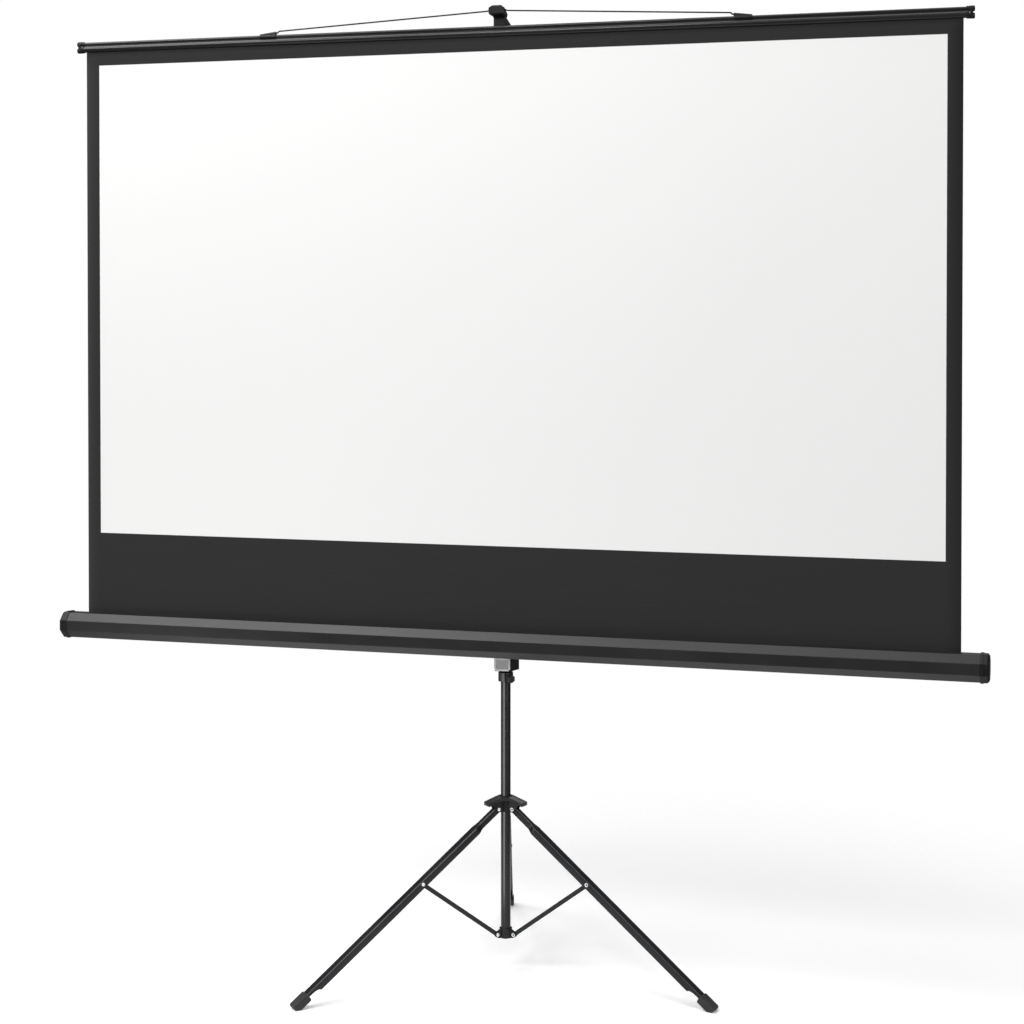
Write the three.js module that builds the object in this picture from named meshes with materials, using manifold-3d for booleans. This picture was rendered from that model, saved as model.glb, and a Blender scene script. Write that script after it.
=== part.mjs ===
// A tripod projection screen, set up: a bare matt white screen with a black border, pulled out of an
// octagonal case and hung on the hook of a telescopic mast over a folding tripod.
// Millimetres, +Z up, the screen faces -Y, the floor is Z = 0.
import * as THREE from "three";
import { mergeVertices } from "three/addons/utils/BufferGeometryUtils.js";
import Module from "manifold-3d";

const wasm = await Module();
wasm.setup();

// Clearances between pieces
const REST_GAP = 0.3;
const SLIDE_GAP = 0.4;
const PIVOT_GAP = 0.3;
const WELD = 1e-3;
const OVERCUT = 5;

// Roundness of turned pieces
const FINE_ROUND = 72;
const WIDE_ROUND = 48;
const ROUND = 32;
const KNOB_ROUND = 24;
const SMALL_ROUND = 20;
const RIVET_ROUND = 14;
const WIRE_ROUND = 10;
const WIRE_BANDS = 6;
const BEAD_STEPS = 12;
const END_STEPS = 10;
const CORNER_STEPS = 4;
const EDGE_STEPS = 3;

// Screen cloth
const VIEW_WIDTH = 2214;
const VIEW_HEIGHT = 1245;
const SIDE_BORDER = 37;
const TOP_BORDER = 36;
const BLACK_DROP = 214;
const CLOTH = 0.6;
const CLOTH_Y = -72;
const CLOTH_WIDTH = VIEW_WIDTH + 2 * SIDE_BORDER;

// Case: a regular octagon, measured across its flats
const CASE_SIDES = 8;
const CASE_FLATS = 66;
const CASE_WALL = 1.6;
const CASE_Z = 852;
const CASE_Y = -80;
const CASE_SLOT = 5;
const CASE_TOP = CASE_Z + CASE_FLATS / 2;
const CASE_BACK = CASE_Y + CASE_FLATS / 2;

// Case end caps
const CAP_LENGTH = 22;
const CAP_FLANGE = 8;
const CAP_PROUD = 2;
const CAP_STEP = 0.6;
const CAP_CHAMFER = 5;
const CAP_PLUG = 10;

// Spring roller in the case
const ROLLER_RADIUS = 11.5;
const ROLLER_WALL = 1.2;
const ROLLER_SPARE = 16;
const ROLLER_ROOM = 29;
const WRAP = 0.4;
const PLUG_LENGTH = 30;
const ROLLER_PIN_RADIUS = 4;
const SPINDLE_REACH = 420;
const PIN_REACH = 45;
const WRAP_RADIUS = ROLLER_RADIUS + REST_GAP + WRAP;
const ROLLER_Y = CLOTH_Y - CLOTH / 2 - REST_GAP - WRAP_RADIUS;
const ROLLER_LENGTH = CLOTH_WIDTH + 2 * ROLLER_SPARE;
const CASE_LENGTH = ROLLER_LENGTH + 2 * ROLLER_ROOM;
const CASE_END = CASE_LENGTH / 2;

// Top bar: a round lower bead that holds the cloth, and a thin upper bead that the clips snap on
const BAR_OVERHANG = 6;
const BAR_LENGTH = CLOTH_WIDTH + 2 * BAR_OVERHANG;
const LOWER_BEAD = 8.5;
const UPPER_BEAD = 4.5;
const BEAD_SPACE = 0.7;
const BAR_NECK = 5.2;
const BAR_SLOT_GAP = 0.5;
const BAR_SLOT_DEPTH = 9;
const BAR_BOTTOM = CASE_TOP + BLACK_DROP + VIEW_HEIGHT + TOP_BORDER;
const LOWER_Z = BAR_BOTTOM + LOWER_BEAD;
const UPPER_Z = LOWER_Z + LOWER_BEAD + BEAD_SPACE + UPPER_BEAD;
const CLOTH_TOP = BAR_BOTTOM + BAR_SLOT_DEPTH - REST_GAP;

// Top bar end caps
const BAR_CAP_COLLAR = 7;
const BAR_CAP_PROUD = 1.7;
const LOBE_LENGTH = 13;
const LOBE_RADIUS = 7.1;
const LOBE_GROOVE = 1.6;
const LOBE_GROOVE_LENGTH = 1.4;
const LOBE_APART = 16.8;
const LOBE_DOME = 5;
const LOBE_DOME_STEPS = 4;

// Bail wire and its clips
const WIRE = 3.2;
const CLIP_X = 621;
const CLIP_LENGTH = 45;
const CLIP_WALL = 2.3;
const CLIP_BOSS = 4.2;
const BAIL_AXIS_RISE = 8.8;
const BAIL_Z = UPPER_Z + BAIL_AXIS_RISE;
const BAIL_PIN = 38;
const BAIL_FOOT_RISE = 4.5;
const BAIL_FOOT_RUN = 4;
const HUMP_FOOT = 24;
const HUMP_FOOT_RISE = 33;
const HUMP_HALF = 11.5;
const HUMP_RISE = 42.5;
const BAIL_LEAN = THREE.MathUtils.degToRad(3);
const BAIL_SWING = THREE.MathUtils.degToRad(60);

// Base pole, mast and extension rod: three round tubes, one inside the other
const POLE_RADIUS = 12.5;
const TUBE_WALL = 1.2;
const POLE_BOTTOM = 90;
const POLE_TOP = 764;
const MAST_RADIUS = POLE_RADIUS - TUBE_WALL - SLIDE_GAP;
const MAST_BOTTOM = 240;
const MAST_TOP = 1514;
const ROD_RADIUS = MAST_RADIUS - TUBE_WALL - SLIDE_GAP;
const ROD_BOTTOM = 1130;
const ROD_ABOVE_BAR = 20;
const ROD_TOP = BAR_BOTTOM + ROD_ABOVE_BAR;
const BUSH_RIM = 15;
const BUSH_SPIGOT = 22;

// Clamps at the tops of the pole and of the mast
const CLAMP_WALL = 6.5;
const CLAMP_HEIGHT = 24;
const CLAMP_LIP = 6;
const CLAMP_SLIT = 2.6;
const CLAMP_EDGE = 1;
const BOSS_RADIUS = 7.5;
const BOSS_REACH = 4;
const STUD_RADIUS = 3;
const KNOB_RADIUS = 10;
const KNOB_LENGTH = 8;
const KNOB_UNDERCUT = 3;
const KNOB_SKIRT = 2.2;
const KNOB_BEVEL = 1.7;
const KNOB_SCALLOP = 2.4;
const KNOB_SCALLOP_OUT = 1;
const KNOB_SCALLOPS = 6;
const POLE_KNOB_TURN = THREE.MathUtils.degToRad(-44);
const MAST_KNOB_TURN = THREE.MathUtils.degToRad(70);
const CLAMP_SLIT_TURN = THREE.MathUtils.degToRad(-78);

// Bracket that carries the case on the mast
const BRACKET_BOTTOM = 775;
const BRACKET_TOP = 878;
const BRACKET_FRONT = -30;
const BRACKET_REAR = 18;
const BRACKET_FRONT_WIDTH = 40;
const BRACKET_REAR_WIDTH = 64;
const PLATE_WIDTH = 42;
const PLATE_THICK = 4;
const PLATE_BOTTOM = 777;
const PLATE_RIM = 5;
const PLATE_RECESS = 1.2;
const PLATE_FIELD = 24;
const PLATE_CORNER = 5;
const SADDLE_WIDTH = 70;
const SADDLE_HEIGHT = 46;
const PIVOT_BOLT_RADIUS = 5;
const PIVOT_BOLT_DEPTH = 8;

// Hook head on the extension rod
const HOOK_HALF = 20;
const HOOK_NECK_HALF = 14;
const BEAK_RISE = 22;
const HOOK_BEAK_Z = BAIL_Z + BEAK_RISE;
const NOSE_HEIGHT = 6;
const NOSE_FRONT = 12;
const NOSE_BACK = 5.2;
const NOSE_CHAMFER = 4;
const BEAK_TIP = 4;
const HOOK_SADDLE_GAP = 0.5;
const SWING_ROOM = THREE.MathUtils.degToRad(5);
const SOCKET_WALL = 3;
const SOCKET_BELOW_BAR = 28;
const SOCKET_ROOF = 14;
const SOCKET_BOTTOM = BAR_BOTTOM - SOCKET_BELOW_BAR;
const SOCKET_TOP = ROD_TOP + SOCKET_ROOF;
const BAR_CLEAR = 3.5;

// Tripod linkage. Upper leg and brace are equally long, so crown, leg and brace stay in step
const TRIPOD_YAW = THREE.MathUtils.degToRad(15.6);
const PIVOT_RADIUS = 25;
const KNEE_RADIUS = 242;
const CROWN_PIVOT_Z = 421;
const FOOT_PIVOT_Z = 98;
const KNEE_Z = (CROWN_PIVOT_Z + FOOT_PIVOT_Z) / 2;
const SPREAD = Math.atan2(KNEE_RADIUS - PIVOT_RADIUS, CROWN_PIVOT_Z - KNEE_Z);
const BRACE_LENGTH = Math.hypot(KNEE_RADIUS - PIVOT_RADIUS, CROWN_PIVOT_Z - KNEE_Z);
const LEG_NAMES = ["rear", "left", "right"];
const LEG_TURN = (2 * Math.PI) / LEG_NAMES.length;

// Legs: pressed channel, web outwards, drawn in at the crown
const LEG_HALF = 12;
const LEG_NECK_HALF = 7.5;
const LEG_NECK_END = 62;
const LEG_NECK_RUN = 18;
const LEG_WEB = 8;
const LEG_FLANGE = 10;
const LEG_NECK_FLANGE = 8;
const LEG_TAPER_EDGE = -1;
const LEG_SHEET = 1.6;
const LEG_EDGE = 1.5;

// Braces and rivets
const BRACE_HALF = 5.5;
const BRACE_THICK = 3;
const RIVET_RADIUS = 2.5;
const RIVET_HEAD = 4.8;
const RIVET_RISE = 2.4;
const PIN_RADIUS = 2.2;
const PIN_HEAD = 3.4;
const PIN_RISE = 1.4;
const HEAD_SHOULDER = 0.6;
const HEAD_SHOULDER_RISE = 0.8;

// Rubber boots, placed along the leg so that their soles lie on the floor
const BOOT_HALF = 14.2;
const BOOT_TOP = 10;
const BOOT_UNDER = 11;
const BOOT_CORNER = 4;
const BOOT_POCKET_ROOM = 2;
const BOOT_LENGTH = 46;
const BOOT_TOE = 12;
const SOLE_RUN = 12;
const SOLE_START = (CROWN_PIVOT_Z - BOOT_UNDER * Math.sin(SPREAD)) / Math.cos(SPREAD);
const BOOT_END = SOLE_START + SOLE_RUN;
const BOOT_START = BOOT_END - BOOT_LENGTH;
const LEG_END = BOOT_END - BOOT_TOE;
const LEG_TAPER_ROOM = 3;
const LEG_TAPER_RUN = 29;
const LEG_TAPER_END = BOOT_START - LEG_TAPER_ROOM;
const LEG_TAPER_START = LEG_TAPER_END - LEG_TAPER_RUN;

// Sliding crown
const HUB_WALL = 3;
const CROWN_TOP = 452;
const CROWN_BOTTOM = 413;
const DOME_RADIUS = 59;
const DOME_DROP = 13;
const DOME_THICK = 8;
const DOME_BREAK_RADIUS = 30;
const DOME_BREAK_DROP = 4;
const LOBE_TIP = 57;
const LOBE_HALF_TURN = THREE.MathUtils.degToRad(15);
const LOBE_HOLLOW = 4;
const EAR_THICK = 2.4;
const EAR_GAP = 0.5;
const EAR_ROUND = 8;
const EAR_ROOT = 46;
const EAR_ROOT_DROP = 14.4;

// Bottom bracket on the pole
const FOOT_HUB_WALL = 3.6;
const FOOT_HUB_TOP = 113;
const FOOT_HUB_BOTTOM = 86;
const CLEVIS_THICK = 2.2;
const CLEVIS_GAP = 0.4;
const CLEVIS_ROUND = 7;

const BLACK_STEEL = { color: 0x1c1c1d, roughness: 0.35, metalness: 0.3 };
const BLACK_PLASTIC = { color: 0x1a1a1b, roughness: 0.5, metalness: 0 };
const CASE_PAINT = { color: 0x2b2b2c, roughness: 0.42, metalness: 0.25 };
const BAR_PAINT = { color: 0x303031, roughness: 0.3, metalness: 0.35 };
const ZINC = { color: 0xd8d9da, roughness: 0.25, metalness: 0.95 };
const PLATE_STEEL = { color: 0xb8b9ba, roughness: 0.32, metalness: 0.9 };
const RUBBER = { color: 0x3c3c3d, roughness: 0.85, metalness: 0 };
const WHITE_CLOTH = { color: 0xf2f2f0, roughness: 0.95, metalness: 0 };
const BLACK_CLOTH = { color: 0x2c2c2d, roughness: 0.9, metalness: 0 };

// A three.js geometry as a solid that can be joined and cut
function solid(geometry) {
  const loose = geometry.index ? geometry.toNonIndexed() : geometry.clone();
  const bare = new THREE.BufferGeometry();
  bare.setAttribute("position", loose.getAttribute("position"));
  const welded = mergeVertices(bare, WELD);
  const corner = welded.index.array;
  const kept = [];
  for (let i = 0; i < corner.length; i += 3) {
    const [a, b, c] = [corner[i], corner[i + 1], corner[i + 2]];
    if (a !== b && b !== c && c !== a) kept.push(a, b, c);
  }
  const shell = (order) =>
    new wasm.Manifold(
      new wasm.Mesh({
        numProp: 3,
        vertProperties: welded.attributes.position.array,
        triVerts: new Uint32Array(order),
      }),
    );
  const made = shell(kept);
  return made.volume() < 0 ? shell(kept.reverse()) : made;
}

function geometryOf(shape) {
  const mesh = shape.getMesh();
  const geometry = new THREE.BufferGeometry();
  const points = new Float32Array(mesh.vertProperties);
  geometry.setAttribute("position", new THREE.BufferAttribute(points, 3));
  geometry.setIndex(new THREE.BufferAttribute(new Uint32Array(mesh.triVerts), 1));
  geometry.computeVertexNormals();
  return geometry;
}

function piece(group, name, shape, look) {
  const mesh = new THREE.Mesh(geometryOf(shape), new THREE.MeshStandardMaterial(look));
  mesh.name = name;
  group.add(mesh);
  return mesh;
}

const join = (...shapes) => shapes.reduce((whole, next) => whole.add(next));
const cut = (shape, ...tools) => tools.reduce((left, tool) => left.subtract(tool), shape);
const both = (...shapes) => shapes.reduce((common, next) => common.intersect(next));

// Turned pieces: a profile of [radius, height] about Z, or laid along X or Y
function turned(profile, segments = ROUND) {
  const points = profile.map(([radius, height]) => new THREE.Vector2(radius, height));
  return new THREE.LatheGeometry(points, segments).rotateX(Math.PI / 2);
}

const alongX = (geometry) => geometry.rotateY(Math.PI / 2);
const alongY = (geometry) => geometry.rotateX(-Math.PI / 2);

const rod = (radius, low, high) => [
  [0, low],
  [radius, low],
  [radius, high],
  [0, high],
];

const tube = (outer, inner, low, high) => [
  [inner, low],
  [outer, low],
  [outer, high],
  [inner, high],
  [inner, low],
];

// A box between two corners
function block(low, high) {
  const size = high.map((value, axis) => value - low[axis]);
  const middle = high.map((value, axis) => (value + low[axis]) / 2);
  return new THREE.BoxGeometry(...size).translate(...middle);
}

const outline = (points) => new THREE.Shape(points.map(([a, b]) => new THREE.Vector2(a, b)));

// A flat outline thickened evenly about its own plane
function slab(shape, thickness, curveSegments = SMALL_ROUND) {
  const settings = { depth: thickness, bevelEnabled: false, curveSegments };
  return new THREE.ExtrudeGeometry(shape, settings).translate(0, 0, -thickness / 2);
}

// The same with the outline in the XZ plane and in the YZ plane
const slabXZ = (shape, thickness) => slab(shape, thickness).rotateX(Math.PI / 2);
const slabYZ = (shape, length) => slab(shape, length).rotateX(Math.PI / 2).rotateZ(Math.PI / 2);

function arc(centreX, centreY, radius, from, to, steps) {
  const points = [];
  for (let i = 0; i <= steps; i += 1) {
    const turn = from + ((to - from) * i) / steps;
    points.push([centreX + radius * Math.cos(turn), centreY + radius * Math.sin(turn)]);
  }
  return points;
}

const halfSide = Math.PI / CASE_SIDES;
const octagon = (flats) => {
  const last = 2 * Math.PI - halfSide;
  return arc(0, 0, flats / 2 / Math.cos(halfSide), halfSide, last, CASE_SIDES - 1);
};

// A rivet across Y with a domed head each side
function rivet(radius, head, rise, half) {
  const face = half + PIVOT_GAP;
  return turned(
    [
      [0, -face - rise],
      [head * HEAD_SHOULDER, -face - rise * HEAD_SHOULDER_RISE],
      [head, -face],
      [radius, -face],
      [radius, face],
      [head, face],
      [head * HEAD_SHOULDER, face + rise * HEAD_SHOULDER_RISE],
      [0, face + rise],
    ],
    RIVET_ROUND,
  ).rotateX(-Math.PI / 2);
}

const hole = (radius, length) => turned(rod(radius, -length, length), RIVET_ROUND);

const root = new THREE.Group();
const stand = new THREE.Group();
root.add(stand);
const tripod = new THREE.Group();
tripod.rotation.z = TRIPOD_YAW;
stand.add(tripod);

// Base pole, with the hole for the pin that holds the bottom bracket
const pinTurn = -Math.PI / 2;
const pinHole = () =>
  solid(alongY(hole(PIN_RADIUS + REST_GAP, PIVOT_RADIUS)).translate(0, -PIVOT_RADIUS, FOOT_PIVOT_Z));
const poleInner = POLE_RADIUS - TUBE_WALL;
piece(
  tripod,
  "base_pole",
  cut(solid(turned(tube(POLE_RADIUS, poleInner, POLE_BOTTOM, POLE_TOP))), pinHole()),
  BLACK_STEEL,
);

// Bottom bracket: a cup under the pole with three clevises for the braces
const footHub = POLE_RADIUS + REST_GAP + FOOT_HUB_WALL;
const clevisInner = BRACE_THICK / 2 + CLEVIS_GAP;
const clevisOuter = clevisInner + CLEVIS_THICK;
const clevisShape = outline([
  [POLE_RADIUS + REST_GAP + FOOT_HUB_WALL / 2, FOOT_HUB_TOP - CLEVIS_THICK],
  [POLE_RADIUS + REST_GAP + FOOT_HUB_WALL / 2, FOOT_HUB_BOTTOM + CLEVIS_THICK],
  [PIVOT_RADIUS - CLEVIS_ROUND / 2, FOOT_PIVOT_Z - CLEVIS_ROUND - CLEVIS_THICK],
  ...arc(PIVOT_RADIUS, FOOT_PIVOT_Z, CLEVIS_ROUND, -Math.PI / 3, Math.PI / 2, END_STEPS),
]);
let footBracket = solid(
  turned([
    [0, FOOT_HUB_BOTTOM],
    [POLE_RADIUS, FOOT_HUB_BOTTOM],
    [footHub, FOOT_HUB_BOTTOM + FOOT_HUB_WALL],
    [footHub, FOOT_HUB_TOP],
    [POLE_RADIUS + REST_GAP, FOOT_HUB_TOP],
    [POLE_RADIUS + REST_GAP, POLE_BOTTOM - REST_GAP],
    [0, POLE_BOTTOM - REST_GAP],
  ]),
);
const clevisMiddle = (clevisInner + clevisOuter) / 2;
for (let leg = 0; leg < LEG_NAMES.length; leg += 1) {
  const turn = Math.PI / 2 + leg * LEG_TURN;
  for (const side of [-1, 1]) {
    const ear = slabXZ(clevisShape, CLEVIS_THICK).translate(0, side * clevisMiddle, 0);
    footBracket = join(footBracket, solid(ear.rotateZ(turn)));
  }
}
for (let leg = 0; leg < LEG_NAMES.length; leg += 1) {
  const bore = alongY(hole(RIVET_RADIUS + PIVOT_GAP, clevisOuter + OVERCUT));
  bore.translate(PIVOT_RADIUS, 0, FOOT_PIVOT_Z).rotateZ(Math.PI / 2 + leg * LEG_TURN);
  footBracket = cut(footBracket, solid(bore));
}
piece(tripod, "foot_bracket", cut(footBracket, pinHole()), BLACK_STEEL);

// Pin through bracket and pole, its head to the front
const pinShape = turned(
  [
    [0, poleInner + REST_GAP],
    [PIN_RADIUS, poleInner + REST_GAP],
    [PIN_RADIUS, footHub + REST_GAP],
    [PIN_HEAD, footHub + REST_GAP],
    [PIN_HEAD * HEAD_SHOULDER, footHub + REST_GAP + PIN_RISE * HEAD_SHOULDER_RISE],
    [0, footHub + REST_GAP + PIN_RISE],
  ],
  SMALL_ROUND,
);
const pin = piece(tripod, "foot_bracket_pin", solid(alongX(pinShape)), ZINC);
pin.position.z = FOOT_PIVOT_Z;
pin.rotation.z = pinTurn;

// Leg channel, drawn along X from the crown pivot to the foot, web towards +Z
const legPlan = (grow) =>
  outline([
    [-EAR_ROUND - OVERCUT, -LEG_NECK_HALF - grow],
    [LEG_NECK_END, -LEG_NECK_HALF - grow],
    [LEG_NECK_END + LEG_NECK_RUN, -LEG_HALF - grow],
    [LEG_END + (grow ? OVERCUT : 0), -LEG_HALF - grow],
    [LEG_END + (grow ? OVERCUT : 0), LEG_HALF + grow],
    [LEG_NECK_END + LEG_NECK_RUN, LEG_HALF + grow],
    [LEG_NECK_END, LEG_NECK_HALF + grow],
    [-EAR_ROUND - OVERCUT, LEG_NECK_HALF + grow],
  ]);
const taperCurve = new THREE.QuadraticBezierCurve(
  new THREE.Vector2(LEG_TAPER_START, -LEG_FLANGE),
  new THREE.Vector2(LEG_TAPER_START, LEG_TAPER_EDGE),
  new THREE.Vector2(LEG_TAPER_END, LEG_TAPER_EDGE),
);
const legSide = outline([
  ...arc(0, 0, LEG_NECK_FLANGE, Math.PI / 2, (3 * Math.PI) / 2, END_STEPS),
  [LEG_NECK_END, -LEG_NECK_FLANGE],
  [LEG_NECK_END + LEG_NECK_RUN, -LEG_FLANGE],
  ...taperCurve.getPoints(CORNER_STEPS).map((point) => [point.x, point.y]),
  [LEG_END, LEG_TAPER_EDGE],
  [LEG_END, LEG_WEB],
]);
function legChannel() {
  const deep = LEG_WEB + LEG_FLANGE + 2 * OVERCUT;
  const rounded = new THREE.ExtrudeGeometry(legPlan(-LEG_EDGE), {
    depth: deep,
    bevelSize: LEG_EDGE,
    bevelThickness: LEG_EDGE,
    bevelSegments: EDGE_STEPS,
    bevelOffset: 0,
  });
  rounded.translate(0, 0, LEG_WEB - LEG_EDGE - deep);
  const side = slabXZ(legSide, 2 * (LEG_HALF + OVERCUT));
  const hollow = slab(legPlan(-LEG_SHEET), deep);
  hollow.translate(0, 0, LEG_WEB - LEG_SHEET - deep / 2);
  const longHollow = join(
    solid(hollow),
    solid(
      block(
        [LEG_END - LEG_HALF, -LEG_HALF + LEG_SHEET, -deep],
        [LEG_END + OVERCUT, LEG_HALF - LEG_SHEET, LEG_WEB - LEG_SHEET],
      ),
    ),
  );
  const crownHole = alongY(hole(RIVET_RADIUS + PIVOT_GAP, 2 * LEG_HALF));
  const kneeHole = crownHole.clone().translate(BRACE_LENGTH, 0, 0);
  const channel = both(solid(rounded), solid(side));
  return cut(channel, longHollow, solid(crownHole), solid(kneeHole));
}

// Rubber boot on the same line, its sole flat on the floor
const floorAt = (along) => (along * Math.cos(SPREAD) - CROWN_PIVOT_Z) / Math.sin(SPREAD);
function legBoot() {
  const side = outline([
    [BOOT_START, BOOT_TOP - BOOT_CORNER / 2],
    [BOOT_START, -BOOT_UNDER + BOOT_CORNER],
    [BOOT_START + BOOT_CORNER, -BOOT_UNDER],
    [SOLE_START, -BOOT_UNDER],
    [BOOT_END, floorAt(BOOT_END)],
    [BOOT_END, BOOT_TOP - BOOT_CORNER],
    [BOOT_END - BOOT_CORNER / 3, BOOT_TOP - BOOT_CORNER / 3],
    [BOOT_END - BOOT_CORNER, BOOT_TOP],
    [BOOT_START + BOOT_CORNER / 2, BOOT_TOP],
  ]);
  const inset = BOOT_HALF - BOOT_CORNER;
  const plan = outline([
    [BOOT_START - OVERCUT, -BOOT_HALF],
    ...arc(BOOT_END - BOOT_CORNER, -inset, BOOT_CORNER, -Math.PI / 2, 0, CORNER_STEPS),
    ...arc(BOOT_END - BOOT_CORNER, inset, BOOT_CORNER, 0, Math.PI / 2, CORNER_STEPS),
    [BOOT_START - OVERCUT, BOOT_HALF],
  ]);
  const pocket = block(
    [BOOT_START - OVERCUT, -LEG_HALF - REST_GAP, LEG_TAPER_EDGE - REST_GAP],
    [LEG_END + BOOT_POCKET_ROOM, LEG_HALF + REST_GAP, LEG_WEB + REST_GAP],
  );
  const wide = slabXZ(side, 2 * (BOOT_HALF + OVERCUT));
  const tall = slab(plan, 2 * (BOOT_UNDER - floorAt(BOOT_START)));
  const outside = both(solid(wide), solid(tall));
  return cut(outside, solid(pocket));
}

// Brace: a flat strip on edge with round ends, drawn along X from its lower rivet
const braceShape = outline([
  ...arc(0, 0, BRACE_HALF, Math.PI / 2, (3 * Math.PI) / 2, END_STEPS),
  ...arc(BRACE_LENGTH, 0, BRACE_HALF, -Math.PI / 2, Math.PI / 2, END_STEPS),
]);
function braceStrip() {
  const end = alongY(hole(RIVET_RADIUS + PIVOT_GAP, 2 * BRACE_THICK));
  const far = end.clone().translate(BRACE_LENGTH, 0, 0);
  return cut(solid(slabXZ(braceShape, BRACE_THICK)), solid(end), solid(far));
}

const earInner = LEG_NECK_HALF + EAR_GAP;
const earOuter = earInner + EAR_THICK;
LEG_NAMES.forEach((name, index) => {
  const spoke = new THREE.Group();
  spoke.rotation.z = Math.PI / 2 + index * LEG_TURN;
  tripod.add(spoke);
  const leg = new THREE.Group();
  leg.position.set(PIVOT_RADIUS, 0, CROWN_PIVOT_Z);
  leg.rotation.y = Math.PI / 2 - SPREAD;
  spoke.add(leg);
  piece(leg, `${name}_leg`, legChannel(), BLACK_STEEL);
  piece(leg, `${name}_boot`, legBoot(), RUBBER);
  const crownRivet = solid(rivet(RIVET_RADIUS, RIVET_HEAD, RIVET_RISE, earOuter));
  piece(leg, `${name}_crown_rivet`, crownRivet, ZINC);
  const kneeRivet = solid(rivet(RIVET_RADIUS, RIVET_HEAD, RIVET_RISE, LEG_HALF));
  piece(leg, `${name}_knee_rivet`, kneeRivet, ZINC).position.x = BRACE_LENGTH;
  const brace = new THREE.Group();
  brace.position.set(PIVOT_RADIUS, 0, FOOT_PIVOT_Z);
  brace.rotation.y = SPREAD - Math.PI / 2;
  spoke.add(brace);
  piece(brace, `${name}_brace`, braceStrip(), BLACK_STEEL);
  const footRivet = solid(rivet(RIVET_RADIUS, RIVET_HEAD, RIVET_RISE, clevisOuter));
  piece(brace, `${name}_foot_rivet`, footRivet, ZINC);
});

// Crown: a hub that slides on the pole under a three-lobed roof, with ears for the legs
const hubInner = POLE_RADIUS + SLIDE_GAP;
const hubOuter = hubInner + HUB_WALL;
const roof = solid(
  turned(
    [
      [hubInner, CROWN_TOP],
      [hubOuter, CROWN_TOP],
      [DOME_BREAK_RADIUS, CROWN_TOP - DOME_BREAK_DROP],
      [DOME_RADIUS, CROWN_TOP - DOME_DROP],
      [DOME_RADIUS, CROWN_TOP - DOME_DROP - DOME_THICK],
      [hubOuter, CROWN_TOP - DOME_THICK],
      [hubOuter, CROWN_BOTTOM],
      [hubInner, CROWN_BOTTOM],
      [hubInner, CROWN_TOP],
    ],
    WIDE_ROUND,
  ),
);
const lobes = new THREE.Shape();
for (let leg = 0; leg < LEG_NAMES.length; leg += 1) {
  const turn = Math.PI / 2 + leg * LEG_TURN;
  const start = turn - LOBE_HALF_TURN;
  const next = turn + LEG_TURN - LOBE_HALF_TURN;
  if (leg === 0) lobes.moveTo(LOBE_TIP * Math.cos(start), LOBE_TIP * Math.sin(start));
  lobes.absarc(0, 0, LOBE_TIP, start, turn + LOBE_HALF_TURN);
  const middle = turn + LEG_TURN / 2;
  lobes.quadraticCurveTo(
    LOBE_HOLLOW * Math.cos(middle),
    LOBE_HOLLOW * Math.sin(middle),
    LOBE_TIP * Math.cos(next),
    LOBE_TIP * Math.sin(next),
  );
}
const crownHeight = CROWN_TOP - CROWN_BOTTOM;
const lobePrism = slab(lobes, 2 * crownHeight, BEAD_STEPS).translate(0, 0, CROWN_BOTTOM);
const earShape = outline([
  [hubInner + HUB_WALL / 2, CROWN_TOP - DOME_THICK],
  [hubInner + HUB_WALL / 2, CROWN_BOTTOM + EAR_THICK / 2],
  ...arc(PIVOT_RADIUS, CROWN_PIVOT_Z, EAR_ROUND, -Math.PI / 2, -Math.PI / 6, CORNER_STEPS),
  [EAR_ROOT, CROWN_TOP - EAR_ROOT_DROP],
]);
let crown = both(roof, solid(lobePrism));
for (let leg = 0; leg < LEG_NAMES.length; leg += 1) {
  const turn = Math.PI / 2 + leg * LEG_TURN;
  for (const side of [-1, 1]) {
    const ear = slabXZ(earShape, EAR_THICK).translate(0, (side * (earInner + earOuter)) / 2, 0);
    crown = join(crown, solid(ear.rotateZ(turn)));
  }
}
for (let leg = 0; leg < LEG_NAMES.length; leg += 1) {
  const bore = alongY(hole(RIVET_RADIUS + PIVOT_GAP, 2 * earOuter));
  bore.translate(PIVOT_RADIUS, 0, CROWN_PIVOT_Z).rotateZ(Math.PI / 2 + leg * LEG_TURN);
  crown = cut(crown, solid(bore));
}
const poleBore = turned(rod(hubInner, CROWN_BOTTOM - OVERCUT, CROWN_TOP + OVERCUT));
piece(tripod, "crown", cut(crown, solid(poleBore)), BLACK_PLASTIC);

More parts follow.
